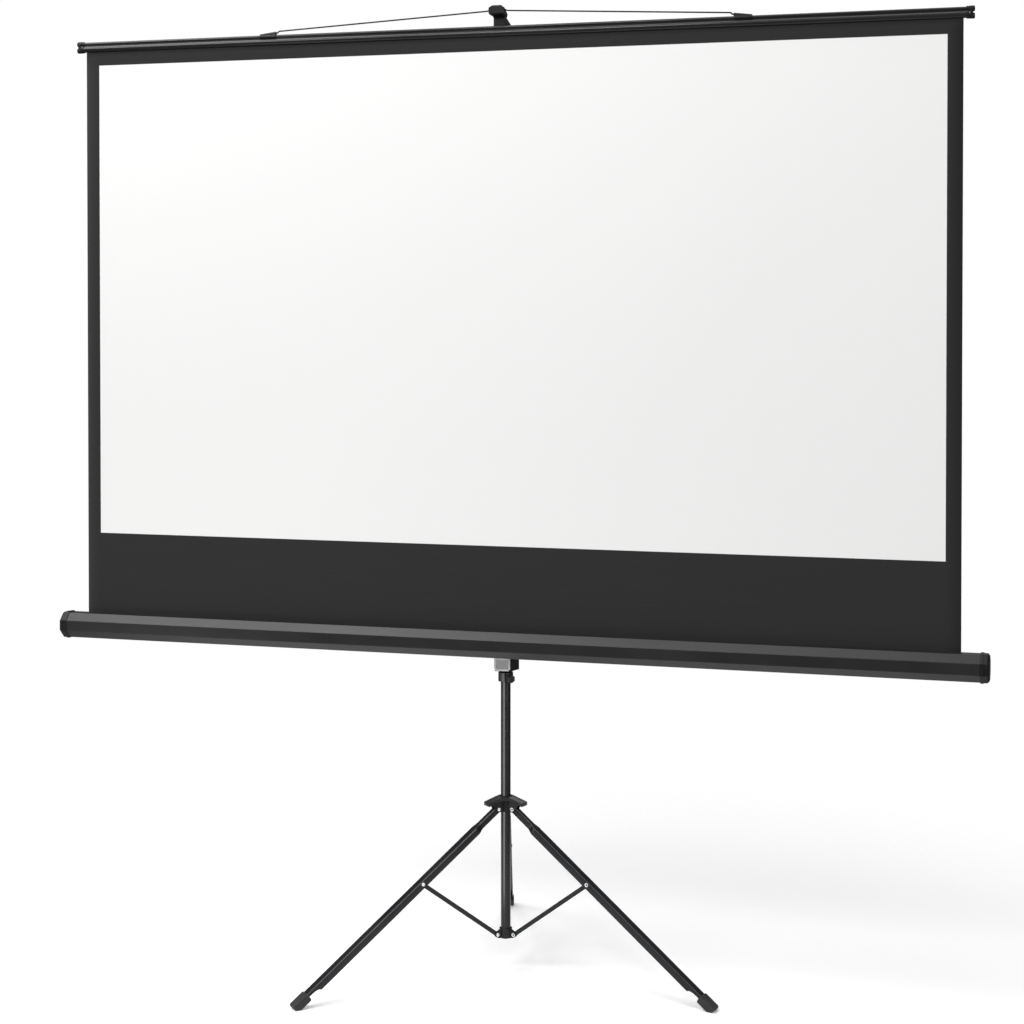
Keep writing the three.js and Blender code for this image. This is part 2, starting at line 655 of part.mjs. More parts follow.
// Clamp: a split collar on the top of a tube, lipped over it, with a boss for the knob's stud
function clamp(tubeRadius, innerRadius, tubeTop, knobTurn, slitTurn) {
  const outer = tubeRadius + CLAMP_WALL;
  const low = tubeTop + CLAMP_LIP - CLAMP_HEIGHT;
  const high = tubeTop + CLAMP_LIP;
  const seat = tubeRadius + REST_GAP;
  const lip = innerRadius + SLIDE_GAP;
  const middle = (low + tubeTop) / 2;
  const collar = turned([
    [seat, low],
    [outer - CLAMP_EDGE, low],
    [outer, low + CLAMP_EDGE],
    [outer, high - CLAMP_EDGE],
    [outer - CLAMP_EDGE, high],
    [lip, high],
    [lip, tubeTop + REST_GAP],
    [seat, tubeTop + REST_GAP],
    [seat, low],
  ]);
  const boss = alongX(turned(rod(BOSS_RADIUS, tubeRadius + CLAMP_WALL / 2, outer + BOSS_REACH)));
  const tap = alongX(turned(rod(STUD_RADIUS + REST_GAP, tubeRadius, outer + BOSS_REACH + OVERCUT)));
  const slit = block(
    [0, -CLAMP_SLIT / 2, low - OVERCUT],
    [outer + OVERCUT, CLAMP_SLIT / 2, high - CLAMP_LIP / 2],
  );
  boss.rotateZ(knobTurn).translate(0, 0, middle);
  tap.rotateZ(knobTurn).translate(0, 0, middle);
  slit.rotateZ(slitTurn);
  const inside = turned(rod(seat, low, tubeTop + REST_GAP));
  const shape = join(solid(collar), cut(solid(boss), solid(inside)));
  return cut(shape, solid(tap), solid(slit));
}

// Scalloped knob with its stud, drawn along X from the tube's surface
function knob(tubeRadius) {
  const seat = tubeRadius + CLAMP_WALL + BOSS_REACH + REST_GAP;
  const body = turned(
    [
      [0, tubeRadius + REST_GAP],
      [STUD_RADIUS, tubeRadius + REST_GAP],
      [STUD_RADIUS, seat],
      [KNOB_RADIUS - KNOB_UNDERCUT, seat],
      [KNOB_RADIUS, seat + KNOB_SKIRT],
      [KNOB_RADIUS, seat + KNOB_LENGTH - KNOB_BEVEL],
      [KNOB_RADIUS - KNOB_BEVEL, seat + KNOB_LENGTH],
      [0, seat + KNOB_LENGTH],
    ],
    KNOB_ROUND,
  );
  let shape = solid(body);
  for (let i = 0; i < KNOB_SCALLOPS; i += 1) {
    const turn = (2 * Math.PI * i) / KNOB_SCALLOPS;
    const reach = KNOB_RADIUS + KNOB_SCALLOP_OUT;
    const past = seat + KNOB_LENGTH + OVERCUT;
    const groove = turned(rod(KNOB_SCALLOP, seat - OVERCUT, past), WIRE_ROUND);
    groove.translate(reach * Math.cos(turn), reach * Math.sin(turn), 0);
    shape = cut(shape, solid(groove));
  }
  return alongX(geometryOf(shape));
}

const clampMiddle = (tubeTop) => tubeTop + (CLAMP_LIP - CLAMP_HEIGHT) / 2;
const poleClamp = clamp(POLE_RADIUS, MAST_RADIUS, POLE_TOP, POLE_KNOB_TURN, CLAMP_SLIT_TURN);
piece(stand, "pole_clamp", poleClamp, BLACK_PLASTIC);
const poleKnob = piece(stand, "pole_clamp_knob", solid(knob(POLE_RADIUS)), BLACK_PLASTIC);
poleKnob.position.z = clampMiddle(POLE_TOP);
poleKnob.rotation.z = POLE_KNOB_TURN;

// Mast: a tube on a guide bush that slides in the pole, and its clamp for the rod
const mastInner = MAST_RADIUS - TUBE_WALL;
const mastShape = tube(MAST_RADIUS, mastInner, MAST_BOTTOM, MAST_TOP);
piece(stand, "mast_tube", solid(turned(mastShape)), BLACK_STEEL);
function guideBush(tubeInner, outer, tubeBottom) {
  return solid(
    turned([
      [0, tubeBottom - BUSH_RIM],
      [outer, tubeBottom - BUSH_RIM],
      [outer, tubeBottom - REST_GAP],
      [tubeInner - REST_GAP, tubeBottom - REST_GAP],
      [tubeInner - REST_GAP, tubeBottom + BUSH_SPIGOT],
      [0, tubeBottom + BUSH_SPIGOT],
    ]),
  );
}
piece(stand, "mast_guide_bush", guideBush(mastInner, MAST_RADIUS, MAST_BOTTOM), BLACK_PLASTIC);
const mastClamp = clamp(MAST_RADIUS, ROD_RADIUS, MAST_TOP, MAST_KNOB_TURN, -CLAMP_SLIT_TURN);
piece(stand, "mast_clamp", mastClamp, BLACK_PLASTIC);
const mastKnob = piece(stand, "mast_clamp_knob", solid(knob(MAST_RADIUS)), BLACK_PLASTIC);
mastKnob.position.z = clampMiddle(MAST_TOP);
mastKnob.rotation.z = MAST_KNOB_TURN;

// Case bracket on the mast, with a bright pivot plate in front of it
const saddleBack = CASE_BACK + REST_GAP;
const plateBack = BRACKET_FRONT - REST_GAP;
const plateFront = plateBack - PLATE_THICK;
const bracketPlan = outline([
  [-BRACKET_FRONT_WIDTH / 2, BRACKET_FRONT],
  [BRACKET_FRONT_WIDTH / 2, BRACKET_FRONT],
  [BRACKET_REAR_WIDTH / 2, BRACKET_REAR - PLATE_CORNER],
  [BRACKET_REAR_WIDTH / 2 - PLATE_CORNER, BRACKET_REAR],
  [-BRACKET_REAR_WIDTH / 2 + PLATE_CORNER, BRACKET_REAR],
  [-BRACKET_REAR_WIDTH / 2, BRACKET_REAR - PLATE_CORNER],
]);
const bracketHeight = BRACKET_TOP - BRACKET_BOTTOM;
const bracketBlock = slab(bracketPlan, bracketHeight);
bracketBlock.translate(0, 0, BRACKET_BOTTOM + bracketHeight / 2);
const bracketBore = turned(
  rod(MAST_RADIUS + REST_GAP, BRACKET_BOTTOM - OVERCUT, BRACKET_TOP + OVERCUT),
);
const boltHole = (front, back) => {
  const bore = turned(rod(PIVOT_BOLT_RADIUS + REST_GAP, -back, -front), SMALL_ROUND);
  return solid(bore.rotateX(Math.PI / 2).translate(0, 0, CASE_Z));
};
const boltBack = BRACKET_FRONT + PIVOT_BOLT_DEPTH;
const bracket = cut(
  solid(bracketBlock),
  solid(bracketBore),
  boltHole(BRACKET_FRONT - OVERCUT, boltBack + REST_GAP),
);
piece(stand, "case_bracket", bracket, BLACK_PLASTIC);
const plateHalf = PLATE_WIDTH / 2;
const plateShape = outline([
  [-plateHalf, PLATE_BOTTOM + PLATE_CORNER],
  [-plateHalf + PLATE_CORNER, PLATE_BOTTOM],
  [plateHalf - PLATE_CORNER, PLATE_BOTTOM],
  [plateHalf, PLATE_BOTTOM + PLATE_CORNER],
  ...arc(0, CASE_Z, plateHalf, 0, Math.PI, END_STEPS),
]);
const plateSlab = slabXZ(plateShape, PLATE_THICK).translate(0, (plateFront + plateBack) / 2, 0);
const plateField = block(
  [-plateHalf + PLATE_RIM, plateFront - OVERCUT, PLATE_BOTTOM + PLATE_RIM],
  [plateHalf - PLATE_RIM, plateFront + PLATE_RECESS, PLATE_BOTTOM + PLATE_RIM + PLATE_FIELD],
);
const plateHole = boltHole(plateFront - OVERCUT, plateBack + OVERCUT);
piece(stand, "pivot_plate", cut(solid(plateSlab), solid(plateField), plateHole), PLATE_STEEL);

// Saddle on the back of the case, and the bolt that joins it to plate and bracket
const saddle = block(
  [-SADDLE_WIDTH / 2, saddleBack, CASE_Z - SADDLE_HEIGHT / 2],
  [SADDLE_WIDTH / 2, plateFront - REST_GAP, CASE_Z + SADDLE_HEIGHT / 2],
);
const boltFront = saddleBack + CLEVIS_THICK;
const saddleHole = boltHole(boltFront - REST_GAP, plateFront + OVERCUT);
piece(stand, "case_saddle", cut(solid(saddle), saddleHole), BLACK_PLASTIC);
const bolt = turned(rod(PIVOT_BOLT_RADIUS, -boltBack, -boltFront), SMALL_ROUND);
piece(stand, "pivot_bolt", solid(bolt.rotateX(Math.PI / 2)), ZINC).position.z = CASE_Z;

// Case: a thin octagonal section with a slot along its top for the cloth
const slotOff = CLOTH_Y - CASE_Y;
const caseOuter = octagon(CASE_FLATS);
const caseInner = octagon(CASE_FLATS - 2 * CASE_WALL);
const slotOuter = CASE_FLATS / 2;
const slotInner = slotOuter - CASE_WALL;
const caseSection = outline([
  [slotOff - CASE_SLOT / 2, slotOuter],
  ...caseOuter.slice(2),
  ...caseOuter.slice(0, 1),
  [caseOuter[1][0], caseOuter[1][1]],
  [slotOff + CASE_SLOT / 2, slotOuter],
  [slotOff + CASE_SLOT / 2, slotInner],
  [caseInner[1][0], caseInner[1][1]],
  ...caseInner.slice(0, 1),
  ...caseInner.slice(2).reverse(),
  [slotOff - CASE_SLOT / 2, slotInner],
]);
const caseProfile = piece(stand, "case_profile", solid(slabYZ(caseSection, CASE_LENGTH)), CASE_PAINT);
caseProfile.position.set(0, CASE_Y, CASE_Z);

// Case end caps: an octagonal plug, a proud flange and a chamfered end, drawn along X
const capRing = (flats, low, high) => {
  const ring = slabYZ(outline(octagon(flats)), high - low);
  return solid(ring.translate((low + high) / 2, 0, 0));
};
function endCap() {
  const flangeEnd = REST_GAP + CAP_FLANGE;
  const flange = capRing(CASE_FLATS + 2 * CAP_PROUD, REST_GAP, flangeEnd);
  const body = capRing(CASE_FLATS + 2 * CAP_STEP, flangeEnd - REST_GAP, CAP_LENGTH - CAP_CHAMFER);
  const plug = capRing(CASE_FLATS - 2 * CASE_WALL - 2 * REST_GAP, -CAP_PLUG, REST_GAP * 2);
  const reach = (CASE_FLATS / 2 + CAP_STEP) / Math.cos(halfSide);
  const tip = new THREE.CylinderGeometry(reach - CAP_CHAMFER, reach, CAP_CHAMFER, CASE_SIDES, 1);
  tip.rotateY(halfSide).rotateZ(-Math.PI / 2);
  tip.translate(CAP_LENGTH - CAP_CHAMFER / 2, 0, 0);
  const pinHoleShape = alongX(hole(ROLLER_PIN_RADIUS + REST_GAP, CAP_PLUG + CAP_FLANGE / 2));
  pinHoleShape.translate(0, ROLLER_Y - CASE_Y, 0);
  return cut(join(flange, body, plug, solid(tip)), solid(pinHoleShape));
}
for (const [name, side] of [["left", -1], ["right", 1]]) {
  const cap = piece(stand, `${name}_case_cap`, endCap(), BLACK_PLASTIC);
  cap.position.set(side * CASE_END, CASE_Y, CASE_Z);
  cap.scale.x = side;
}

// Roller: a tube on end plugs, with the last turn of the cloth on it
const rollerHalf = ROLLER_LENGTH / 2;
const rollerInner = ROLLER_RADIUS - ROLLER_WALL;
const roller = new THREE.Group();
roller.position.set(0, ROLLER_Y, CASE_Z);
stand.add(roller);
const rollerShape = tube(ROLLER_RADIUS, rollerInner, -rollerHalf, rollerHalf);
piece(roller, "roller_tube", solid(alongX(turned(rollerShape, KNOB_ROUND))), PLATE_STEEL);
const wrapShape = tube(WRAP_RADIUS, WRAP_RADIUS - WRAP, -CLOTH_WIDTH / 2, CLOTH_WIDTH / 2);
piece(roller, "cloth_wrap", solid(alongX(turned(wrapShape, KNOB_ROUND))), BLACK_CLOTH);
const plugShape = tube(
  rollerInner - REST_GAP,
  ROLLER_PIN_RADIUS + SLIDE_GAP,
  rollerHalf - PLUG_LENGTH,
  rollerHalf,
);
for (const [name, side] of [["left", -1], ["right", 1]]) {
  const shape = solid(alongX(turned(plugShape, KNOB_ROUND)));
  piece(roller, `${name}_roller_plug`, shape, BLACK_PLASTIC).scale.x = side;
}

// Idle pin on the left and spring spindle on the right, held in the case caps
const pinEnd = CASE_END + CAP_FLANGE / 2 - REST_GAP;
for (const [name, reach, side] of [["idle_pin", PIN_REACH, -1], ["spring_spindle", SPINDLE_REACH, 1]]) {
  const shape = alongX(turned(rod(ROLLER_PIN_RADIUS, pinEnd - reach, pinEnd), SMALL_ROUND));
  const spindle = piece(stand, name, solid(shape), PLATE_STEEL);
  spindle.position.set(0, ROLLER_Y, CASE_Z);
  spindle.scale.x = side;
}

// Screen cloth, from the roller up through the slot into the top bar
const cloth = block(
  [-CLOTH_WIDTH / 2, CLOTH_Y - CLOTH / 2, CASE_Z],
  [CLOTH_WIDTH / 2, CLOTH_Y + CLOTH / 2, CLOTH_TOP],
);
piece(stand, "screen_cloth", solid(cloth), WHITE_CLOTH);

// Top bar section, with the slot that grips the cloth. Where the beads are grown into a collar they
// run into each other, and the neck is where they cross
const slotHalf = CLOTH / 2 + BAR_SLOT_GAP;
const mouth = Math.acos(slotHalf / LOWER_BEAD);
const upperRise = UPPER_Z - LOWER_Z;
const barSection = (grow, slotted) => {
  const low = LOWER_BEAD + grow;
  const high = UPPER_BEAD + grow;
  const crossing = (upperRise ** 2 + low ** 2 - high ** 2) / (2 * upperRise);
  const neck = slotted ? BAR_NECK / 2 : Math.sqrt(low ** 2 - crossing ** 2);
  const lowTurn = Math.acos(neck / low);
  const highTurn = Math.acos(neck / high);
  const shared = slotted ? 0 : 1;
  const points = [
    ...arc(0, 0, low, -mouth, lowTurn, BEAD_STEPS),
    ...arc(0, upperRise, high, -highTurn, Math.PI + highTurn, BEAD_STEPS).slice(shared),
    ...arc(0, 0, low, Math.PI - lowTurn, Math.PI + mouth, BEAD_STEPS).slice(shared),
  ];
  const slotTop = BAR_SLOT_DEPTH - LOWER_BEAD;
  if (slotted) points.push([-slotHalf, slotTop], [slotHalf, slotTop]);
  return outline(points);
};
const bar = new THREE.Group();
bar.position.set(0, CLOTH_Y, LOWER_Z);
stand.add(bar);
piece(bar, "top_bar", solid(slabYZ(barSection(0, true), BAR_LENGTH)), BAR_PAINT);

// Top bar end caps: a collar over the bar's outline, then two domed lobes, one above the other
const barEnd = BAR_LENGTH / 2;
function barCap() {
  const start = barEnd + REST_GAP;
  const collar = slabYZ(barSection(BAR_CAP_PROUD, false), BAR_CAP_COLLAR);
  let shape = solid(collar.translate(start + BAR_CAP_COLLAR / 2, 0, 0));
  const root = start + BAR_CAP_COLLAR;
  const tip = root + LOBE_LENGTH;
  const lobe = [
    [0, root - REST_GAP],
    [LOBE_RADIUS - LOBE_GROOVE, root - REST_GAP],
    [LOBE_RADIUS - LOBE_GROOVE, root + LOBE_GROOVE_LENGTH],
    [LOBE_RADIUS, root + LOBE_GROOVE_LENGTH],
  ];
  for (let i = 0; i < LOBE_DOME_STEPS; i += 1) {
    const turn = (i * Math.PI) / 2 / LOBE_DOME_STEPS;
    lobe.push([LOBE_RADIUS * Math.cos(turn), tip - LOBE_DOME * (1 - Math.sin(turn))]);
  }
  lobe.push([0, tip]);
  const centre = (upperRise + UPPER_BEAD - LOWER_BEAD) / 2;
  for (const side of [-1, 1]) {
    const made = alongX(turned(lobe, KNOB_ROUND)).translate(0, 0, centre + (side * LOBE_APART) / 2);
    shape = join(shape, solid(made));
  }
  return shape;
}
for (const [name, side] of [["left", -1], ["right", 1]]) {
  piece(bar, `${name}_bar_cap`, barCap(), BLACK_PLASTIC).scale.x = side;
}

// Clips that snap over the upper bead and hold the ends of the bail
const clipRadius = UPPER_BEAD + REST_GAP + CLIP_WALL;
const clipSolid = (radius, rise, length) =>
  solid(alongX(turned(rod(radius, -length / 2, length / 2), KNOB_ROUND)).translate(0, 0, rise));
function clip() {
  const outside = join(
    clipSolid(clipRadius, 0, CLIP_LENGTH),
    clipSolid(CLIP_BOSS, BAIL_AXIS_RISE, CLIP_LENGTH),
  );
  const mouthHalf = BAR_NECK / 2 + REST_GAP;
  const mouthCut = block(
    [-CLIP_LENGTH, -mouthHalf, -2 * clipRadius],
    [CLIP_LENGTH, mouthHalf, 0],
  );
  const under = block(
    [-CLIP_LENGTH, -2 * clipRadius, -2 * clipRadius],
    [CLIP_LENGTH, 2 * clipRadius, -UPPER_BEAD],
  );
  return cut(
    outside,
    clipSolid(UPPER_BEAD + REST_GAP, 0, 2 * CLIP_LENGTH),
    clipSolid(WIRE / 2 + SLIDE_GAP, BAIL_AXIS_RISE, 2 * CLIP_LENGTH),
    solid(mouthCut),
    solid(under),
  );
}
for (const [name, side] of [["left", -1], ["right", 1]]) {
  piece(bar, `${name}_bail_clip`, clip(), BLACK_PLASTIC).position.set(side * CLIP_X, 0, upperRise);
}

// Bail: one bent wire from clip to clip, humped in the middle to sit on the hook
const footX = CLIP_X - CLIP_LENGTH / 2 - WIRE;
const halfBail = [
  [footX + BAIL_PIN, 0],
  [footX, 0],
  [footX - BAIL_FOOT_RUN, BAIL_FOOT_RISE],
  [HUMP_FOOT, HUMP_FOOT_RISE],
  [HUMP_HALF, HUMP_RISE],
];
const bailLine = [...halfBail.map(([x, rise]) => [-x, rise]), ...halfBail.reverse()];
let bailShape = null;
bailLine.forEach(([x, rise], i) => {
  const parts = [];
  if (i > 0 && i < bailLine.length - 1) {
    const bend = new THREE.SphereGeometry(WIRE / 2, WIRE_ROUND, WIRE_BANDS).rotateX(Math.PI / 2);
    parts.push(bend.translate(x, 0, rise));
  }
  if (i > 0) {
    const [fromX, fromRise] = bailLine[i - 1];
    const length = Math.hypot(x - fromX, rise - fromRise);
    const run = alongX(turned(rod(WIRE / 2, 0, length), WIRE_ROUND));
    run.rotateY(-Math.atan2(rise - fromRise, x - fromX));
    parts.push(run.translate(fromX, 0, fromRise));
  }
  for (const part of parts) bailShape = bailShape ? join(bailShape, solid(part)) : solid(part);
});
const bail = piece(stand, "bail_wire", bailShape, BLACK_STEEL);
bail.position.set(0, CLOTH_Y, BAIL_Z);
bail.rotation.x = BAIL_LEAN;

// Extension rod with its guide bush
const rodInner = ROD_RADIUS - TUBE_WALL;
const rodShape = tube(ROD_RADIUS, rodInner, ROD_BOTTOM, ROD_TOP);
piece(stand, "extension_rod", solid(turned(rodShape)), BLACK_STEEL);
piece(stand, "extension_bush", guideBush(rodInner, ROD_RADIUS, ROD_BOTTOM), BLACK_PLASTIC);

// Hook head: a socket on the rod, a neck that reaches forward, and a beaked saddle for the bail
const saddleRadius = HUMP_RISE - WIRE / 2 - HOOK_SADDLE_GAP;
const saddleTop = BAIL_Z + saddleRadius;
const swingEnd = BAIL_SWING + SWING_ROOM;
const socketOuter = ROD_RADIUS + REST_GAP + SOCKET_WALL;
const neckFront = CLOTH_Y + LOWER_BEAD + BAR_CLEAR;
const hookSide = outline([
  [CLOTH_Y - NOSE_FRONT, HOOK_BEAK_Z + BEAK_TIP],
  [CLOTH_Y - NOSE_FRONT, saddleTop + NOSE_HEIGHT - NOSE_CHAMFER],
  [CLOTH_Y - NOSE_FRONT + NOSE_CHAMFER, saddleTop + NOSE_HEIGHT],
  [CLOTH_Y + NOSE_BACK, saddleTop + NOSE_HEIGHT],
  ...arc(CLOTH_Y, BAIL_Z, HUMP_RISE, Math.PI / 2 - BAIL_SWING / 2, Math.PI / 2 - swingEnd, END_STEPS),
  [socketOuter, SOCKET_TOP],
  [socketOuter, SOCKET_BOTTOM],
  [-socketOuter, SOCKET_BOTTOM],
  [neckFront, BAR_BOTTOM + LOWER_BEAD],
  [neckFront, HOOK_BEAK_Z],
  [CLOTH_Y - NOSE_FRONT + 2 * BEAK_TIP, HOOK_BEAK_Z],
]);
const slopeDrop = HUMP_RISE - HUMP_FOOT_RISE;
const slopeRun = HUMP_FOOT - HUMP_HALF;
const shoulderDrop = (slopeDrop * (HOOK_HALF - HUMP_HALF)) / slopeRun;
const hookFront = outline([
  [-HOOK_NECK_HALF, SOCKET_BOTTOM - OVERCUT],
  [HOOK_NECK_HALF, SOCKET_BOTTOM - OVERCUT],
  [HOOK_NECK_HALF, HOOK_BEAK_Z - BEAK_TIP],
  [HOOK_HALF, HOOK_BEAK_Z + BEAK_TIP],
  [HOOK_HALF, saddleTop + NOSE_HEIGHT - shoulderDrop],
  [HUMP_HALF, saddleTop + NOSE_HEIGHT],
  [-HUMP_HALF, saddleTop + NOSE_HEIGHT],
  [-HOOK_HALF, saddleTop + NOSE_HEIGHT - shoulderDrop],
  [-HOOK_HALF, HOOK_BEAK_Z + BEAK_TIP],
  [-HOOK_NECK_HALF, HOOK_BEAK_Z - BEAK_TIP],
]);
const hookDepth = slabXZ(hookFront, 2 * (socketOuter - CLOTH_Y + NOSE_FRONT));
const swept = alongX(
  turned([
    [2 * HUMP_RISE, -2 * HUMP_FOOT],
    [HUMP_FOOT_RISE - WIRE, -2 * HUMP_FOOT],
    [HUMP_FOOT_RISE - WIRE / 2 - HOOK_SADDLE_GAP, -HUMP_FOOT],
    [saddleRadius, -HUMP_HALF],
    [saddleRadius, HUMP_HALF],
    [HUMP_FOOT_RISE - WIRE / 2 - HOOK_SADDLE_GAP, HUMP_FOOT],
    [HUMP_FOOT_RISE - WIRE, 2 * HUMP_FOOT],
    [2 * HUMP_RISE, 2 * HUMP_FOOT],
    [2 * HUMP_RISE, -2 * HUMP_FOOT],
  ], FINE_ROUND),
).translate(0, CLOTH_Y, BAIL_Z);
const far = 2 * HUMP_RISE;
const swingWedge = slabYZ(
  outline([
    [CLOTH_Y - NOSE_BACK, BAIL_Z],
    [CLOTH_Y, BAIL_Z],
    [CLOTH_Y + far * Math.sin(swingEnd), BAIL_Z + far * Math.cos(swingEnd)],
    [CLOTH_Y + far * Math.sin(swingEnd), BAIL_Z + far],
    [CLOTH_Y - NOSE_BACK, BAIL_Z + far],
  ]),
  2 * HUMP_FOOT,
);
const rodBore = turned(rod(ROD_RADIUS + REST_GAP, SOCKET_BOTTOM - OVERCUT, ROD_TOP + REST_GAP));
const hookBlank = both(solid(slabYZ(hookSide, 2 * HOOK_HALF)), solid(hookDepth));
const hook = cut(hookBlank, both(solid(swept), solid(swingWedge)), solid(rodBore));
piece(stand, "hook_head", hook, BLACK_PLASTIC);

// The origin is at the middle of the footprint's box, on the floor
const bounds = new THREE.Box3().setFromObject(root, true);
const centre = bounds.getCenter(new THREE.Vector3());
stand.position.set(-centre.x, -centre.y, -bounds.min.z);

export default root;
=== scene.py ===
"""A tripod projection screen, set up: bare matt white cloth with a black border, pulled up out of an
octagonal case and hung on the hook of a telescopic mast over a folding tripod.
Metres, +Z up, the screen faces -Y."""

import math

import bmesh
import bpy
from mathutils import Matrix, Vector


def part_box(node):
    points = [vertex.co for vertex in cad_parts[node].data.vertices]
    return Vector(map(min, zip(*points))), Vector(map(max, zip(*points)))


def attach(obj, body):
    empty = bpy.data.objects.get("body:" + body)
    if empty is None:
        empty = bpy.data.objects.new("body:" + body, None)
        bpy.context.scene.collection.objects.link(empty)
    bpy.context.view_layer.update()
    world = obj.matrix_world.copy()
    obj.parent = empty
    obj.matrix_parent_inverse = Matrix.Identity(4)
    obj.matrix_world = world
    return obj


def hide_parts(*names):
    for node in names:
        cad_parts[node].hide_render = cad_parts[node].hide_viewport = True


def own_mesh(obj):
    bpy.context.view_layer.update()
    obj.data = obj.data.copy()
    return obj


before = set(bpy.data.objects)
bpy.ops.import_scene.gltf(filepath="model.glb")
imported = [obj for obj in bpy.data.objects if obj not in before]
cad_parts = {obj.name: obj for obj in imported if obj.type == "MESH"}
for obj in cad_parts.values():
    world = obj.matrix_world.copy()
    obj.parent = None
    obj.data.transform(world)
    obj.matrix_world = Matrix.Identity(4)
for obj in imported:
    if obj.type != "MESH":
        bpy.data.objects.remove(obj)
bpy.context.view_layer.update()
scene = bpy.context.scene


# Studio: a pale floor that fades out into a white room, soft lights from the left, the front and the
# right, two overhead that draw the upper edges, low strips at both sides and a light behind.
# The camera stands to the right of the screen's middle, about as high as the middle of the cloth.
floor_radius, floor_drop, fade_start, fade_end = 6.0, 0.0006, 0.7, 2.2
disc = bmesh.new()
bmesh.ops.create_circle(disc, cap_ends=True, segments=128, radius=floor_radius)
bmesh.ops.translate(disc, vec=(0, 0, -floor_drop), verts=disc.verts)
floor_mesh = bpy.data.meshes.new("studio_floor")
disc.to_mesh(floor_mesh)
disc.free()
studio_floor = bpy.data.objects.new("studio_floor", floor_mesh)
scene.collection.objects.link(studio_floor)
pale = bpy.data.materials.new("pale_floor")
pale.use_nodes = True
net = pale.node_tree
paint = net.nodes["Principled BSDF"]
paint.inputs["Base Color"].default_value = (0.93, 0.93, 0.93, 1)
paint.inputs["Roughness"].default_value = 0.9
paint.inputs["Emission Color"].default_value = (1, 1, 1, 1)
paint.inputs["Emission Strength"].default_value = 0.21
where = net.nodes.new("ShaderNodeTexCoord")
reach = net.nodes.new("ShaderNodeVectorMath")
reach.operation = "LENGTH"
fade = net.nodes.new("ShaderNodeMapRange")
fade.interpolation_type = "SMOOTHSTEP"
fade.inputs["From Min"].default_value = fade_start
fade.inputs["From Max"].default_value = fade_end
under = net.nodes.new("ShaderNodeNewGeometry")
unseen = net.nodes.new("ShaderNodeMath")
unseen.operation = "MAXIMUM"
clear = net.nodes.new("ShaderNodeBsdfTransparent")
mixed = net.nodes.new("ShaderNodeMixShader")
net.links.new(where.outputs["Object"], reach.inputs[0])
net.links.new(reach.outputs["Value"], fade.inputs["Value"])
net.links.new(fade.outputs["Result"], unseen.inputs[0])
net.links.new(under.outputs["Backfacing"], unseen.inputs[1])
net.links.new(unseen.outputs["Value"], mixed.inputs["Fac"])
net.links.new(paint.outputs["BSDF"], mixed.inputs[1])
net.links.new(clear.outputs["BSDF"], mixed.inputs[2])
net.links.new(mixed.outputs["Shader"], net.nodes["Material Output"].inputs["Surface"])
floor_mesh.materials.append(pale)

room = bpy.data.worlds.new("white_room")
scene.world = room
room.use_nodes = True
net = room.node_tree
seen = net.nodes.new("ShaderNodeLightPath")
glow = net.nodes["Background"]
glow.inputs["Color"].default_value = (1, 1, 1, 1)
glow.inputs["Strength"].default_value = 0.13
wall = net.nodes.new("ShaderNodeBackground")
wall.inputs["Color"].default_value = (1, 1, 1, 1)
wall.inputs["Strength"].default_value = 1.0
either = net.nodes.new("ShaderNodeMixShader")
net.links.new(seen.outputs["Is Camera Ray"], either.inputs["Fac"])
net.links.new(glow.outputs["Background"], either.inputs[1])
net.links.new(wall.outputs["Background"], either.inputs[2])
net.links.new(either.outputs["Shader"], net.nodes["World Output"].inputs["Surface"])


def soft_light(name, place, aim, size, power):
    """A flat soft light, turned to its aim, that the camera doesn't see."""
    panel = bpy.data.lights.new(name, "AREA")
    panel.shape = "RECTANGLE"
    panel.size, panel.size_y = size
    panel.energy = power
    lamp = bpy.data.objects.new(name, panel)
    lamp.location = place
    lamp.rotation_euler = (Vector(aim) - Vector(place)).to_track_quat("-Z", "Y").to_euler()
    lamp.visible_camera = False
    scene.collection.objects.link(lamp)
    return lamp


soft_light("key_light", (-3.4, -4.6, 4.6), (0, 0, 1.2), (2.2, 2.2), 140)
soft_light("front_light", (-1.0, -4.2, 4.7), (0, 0, 1.2), (1.2, 1.2), 78)
soft_light("fill_light", (4.6, -3.6, 2.4), (0, 0, 1.2), (1.6, 1.6), 80)
soft_light("top_light", (-2.5, -0.9, 5.4), (-0.6, -0.1, 0.8), (3.2, 2.4), 150)
soft_light("right_top_light", (0.2, -0.9, 5.4), (0.2, -0.1, 0.8), (2.2, 2.4), 45)
soft_light("left_strip", (-1.5, -1.25, 0.24), (0, 0, 0.4), (0.4, 0.45), 4)
soft_light("right_strip", (2.5, -1.3, 0.45), (0, 0, 0.4), (0.35, 0.9), 5)
soft_light("back_light", (-0.5, 4.2, 4.8), (0, 0, 1.3), (3.0, 3.0), 85)

lens = bpy.data.cameras.new("studio_camera")
lens.sensor_width = 36
lens.lens = 71.39
lens.shift_y = -0.1629
camera = bpy.data.objects.new("studio_camera", lens)
camera.location = (1.4724, -5.0328, 1.6946)
camera.rotation_euler = (math.radians(89.0), 0, math.radians(16.35))
scene.collection.objects.link(camera)
scene.camera = camera
scene.view_settings.view_transform = "Standard"


# Base pole: a 25 mm steel tube, cut square, eased at both ends and powder coated black.
# It stands on the foot bracket and carries the tripod's crown, which slides on it.
pole_low, pole_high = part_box("base_pole")
stand = Matrix.Translation(((pole_low.x + pole_high.x) / 2, (pole_low.y + pole_high.y) / 2, 0))

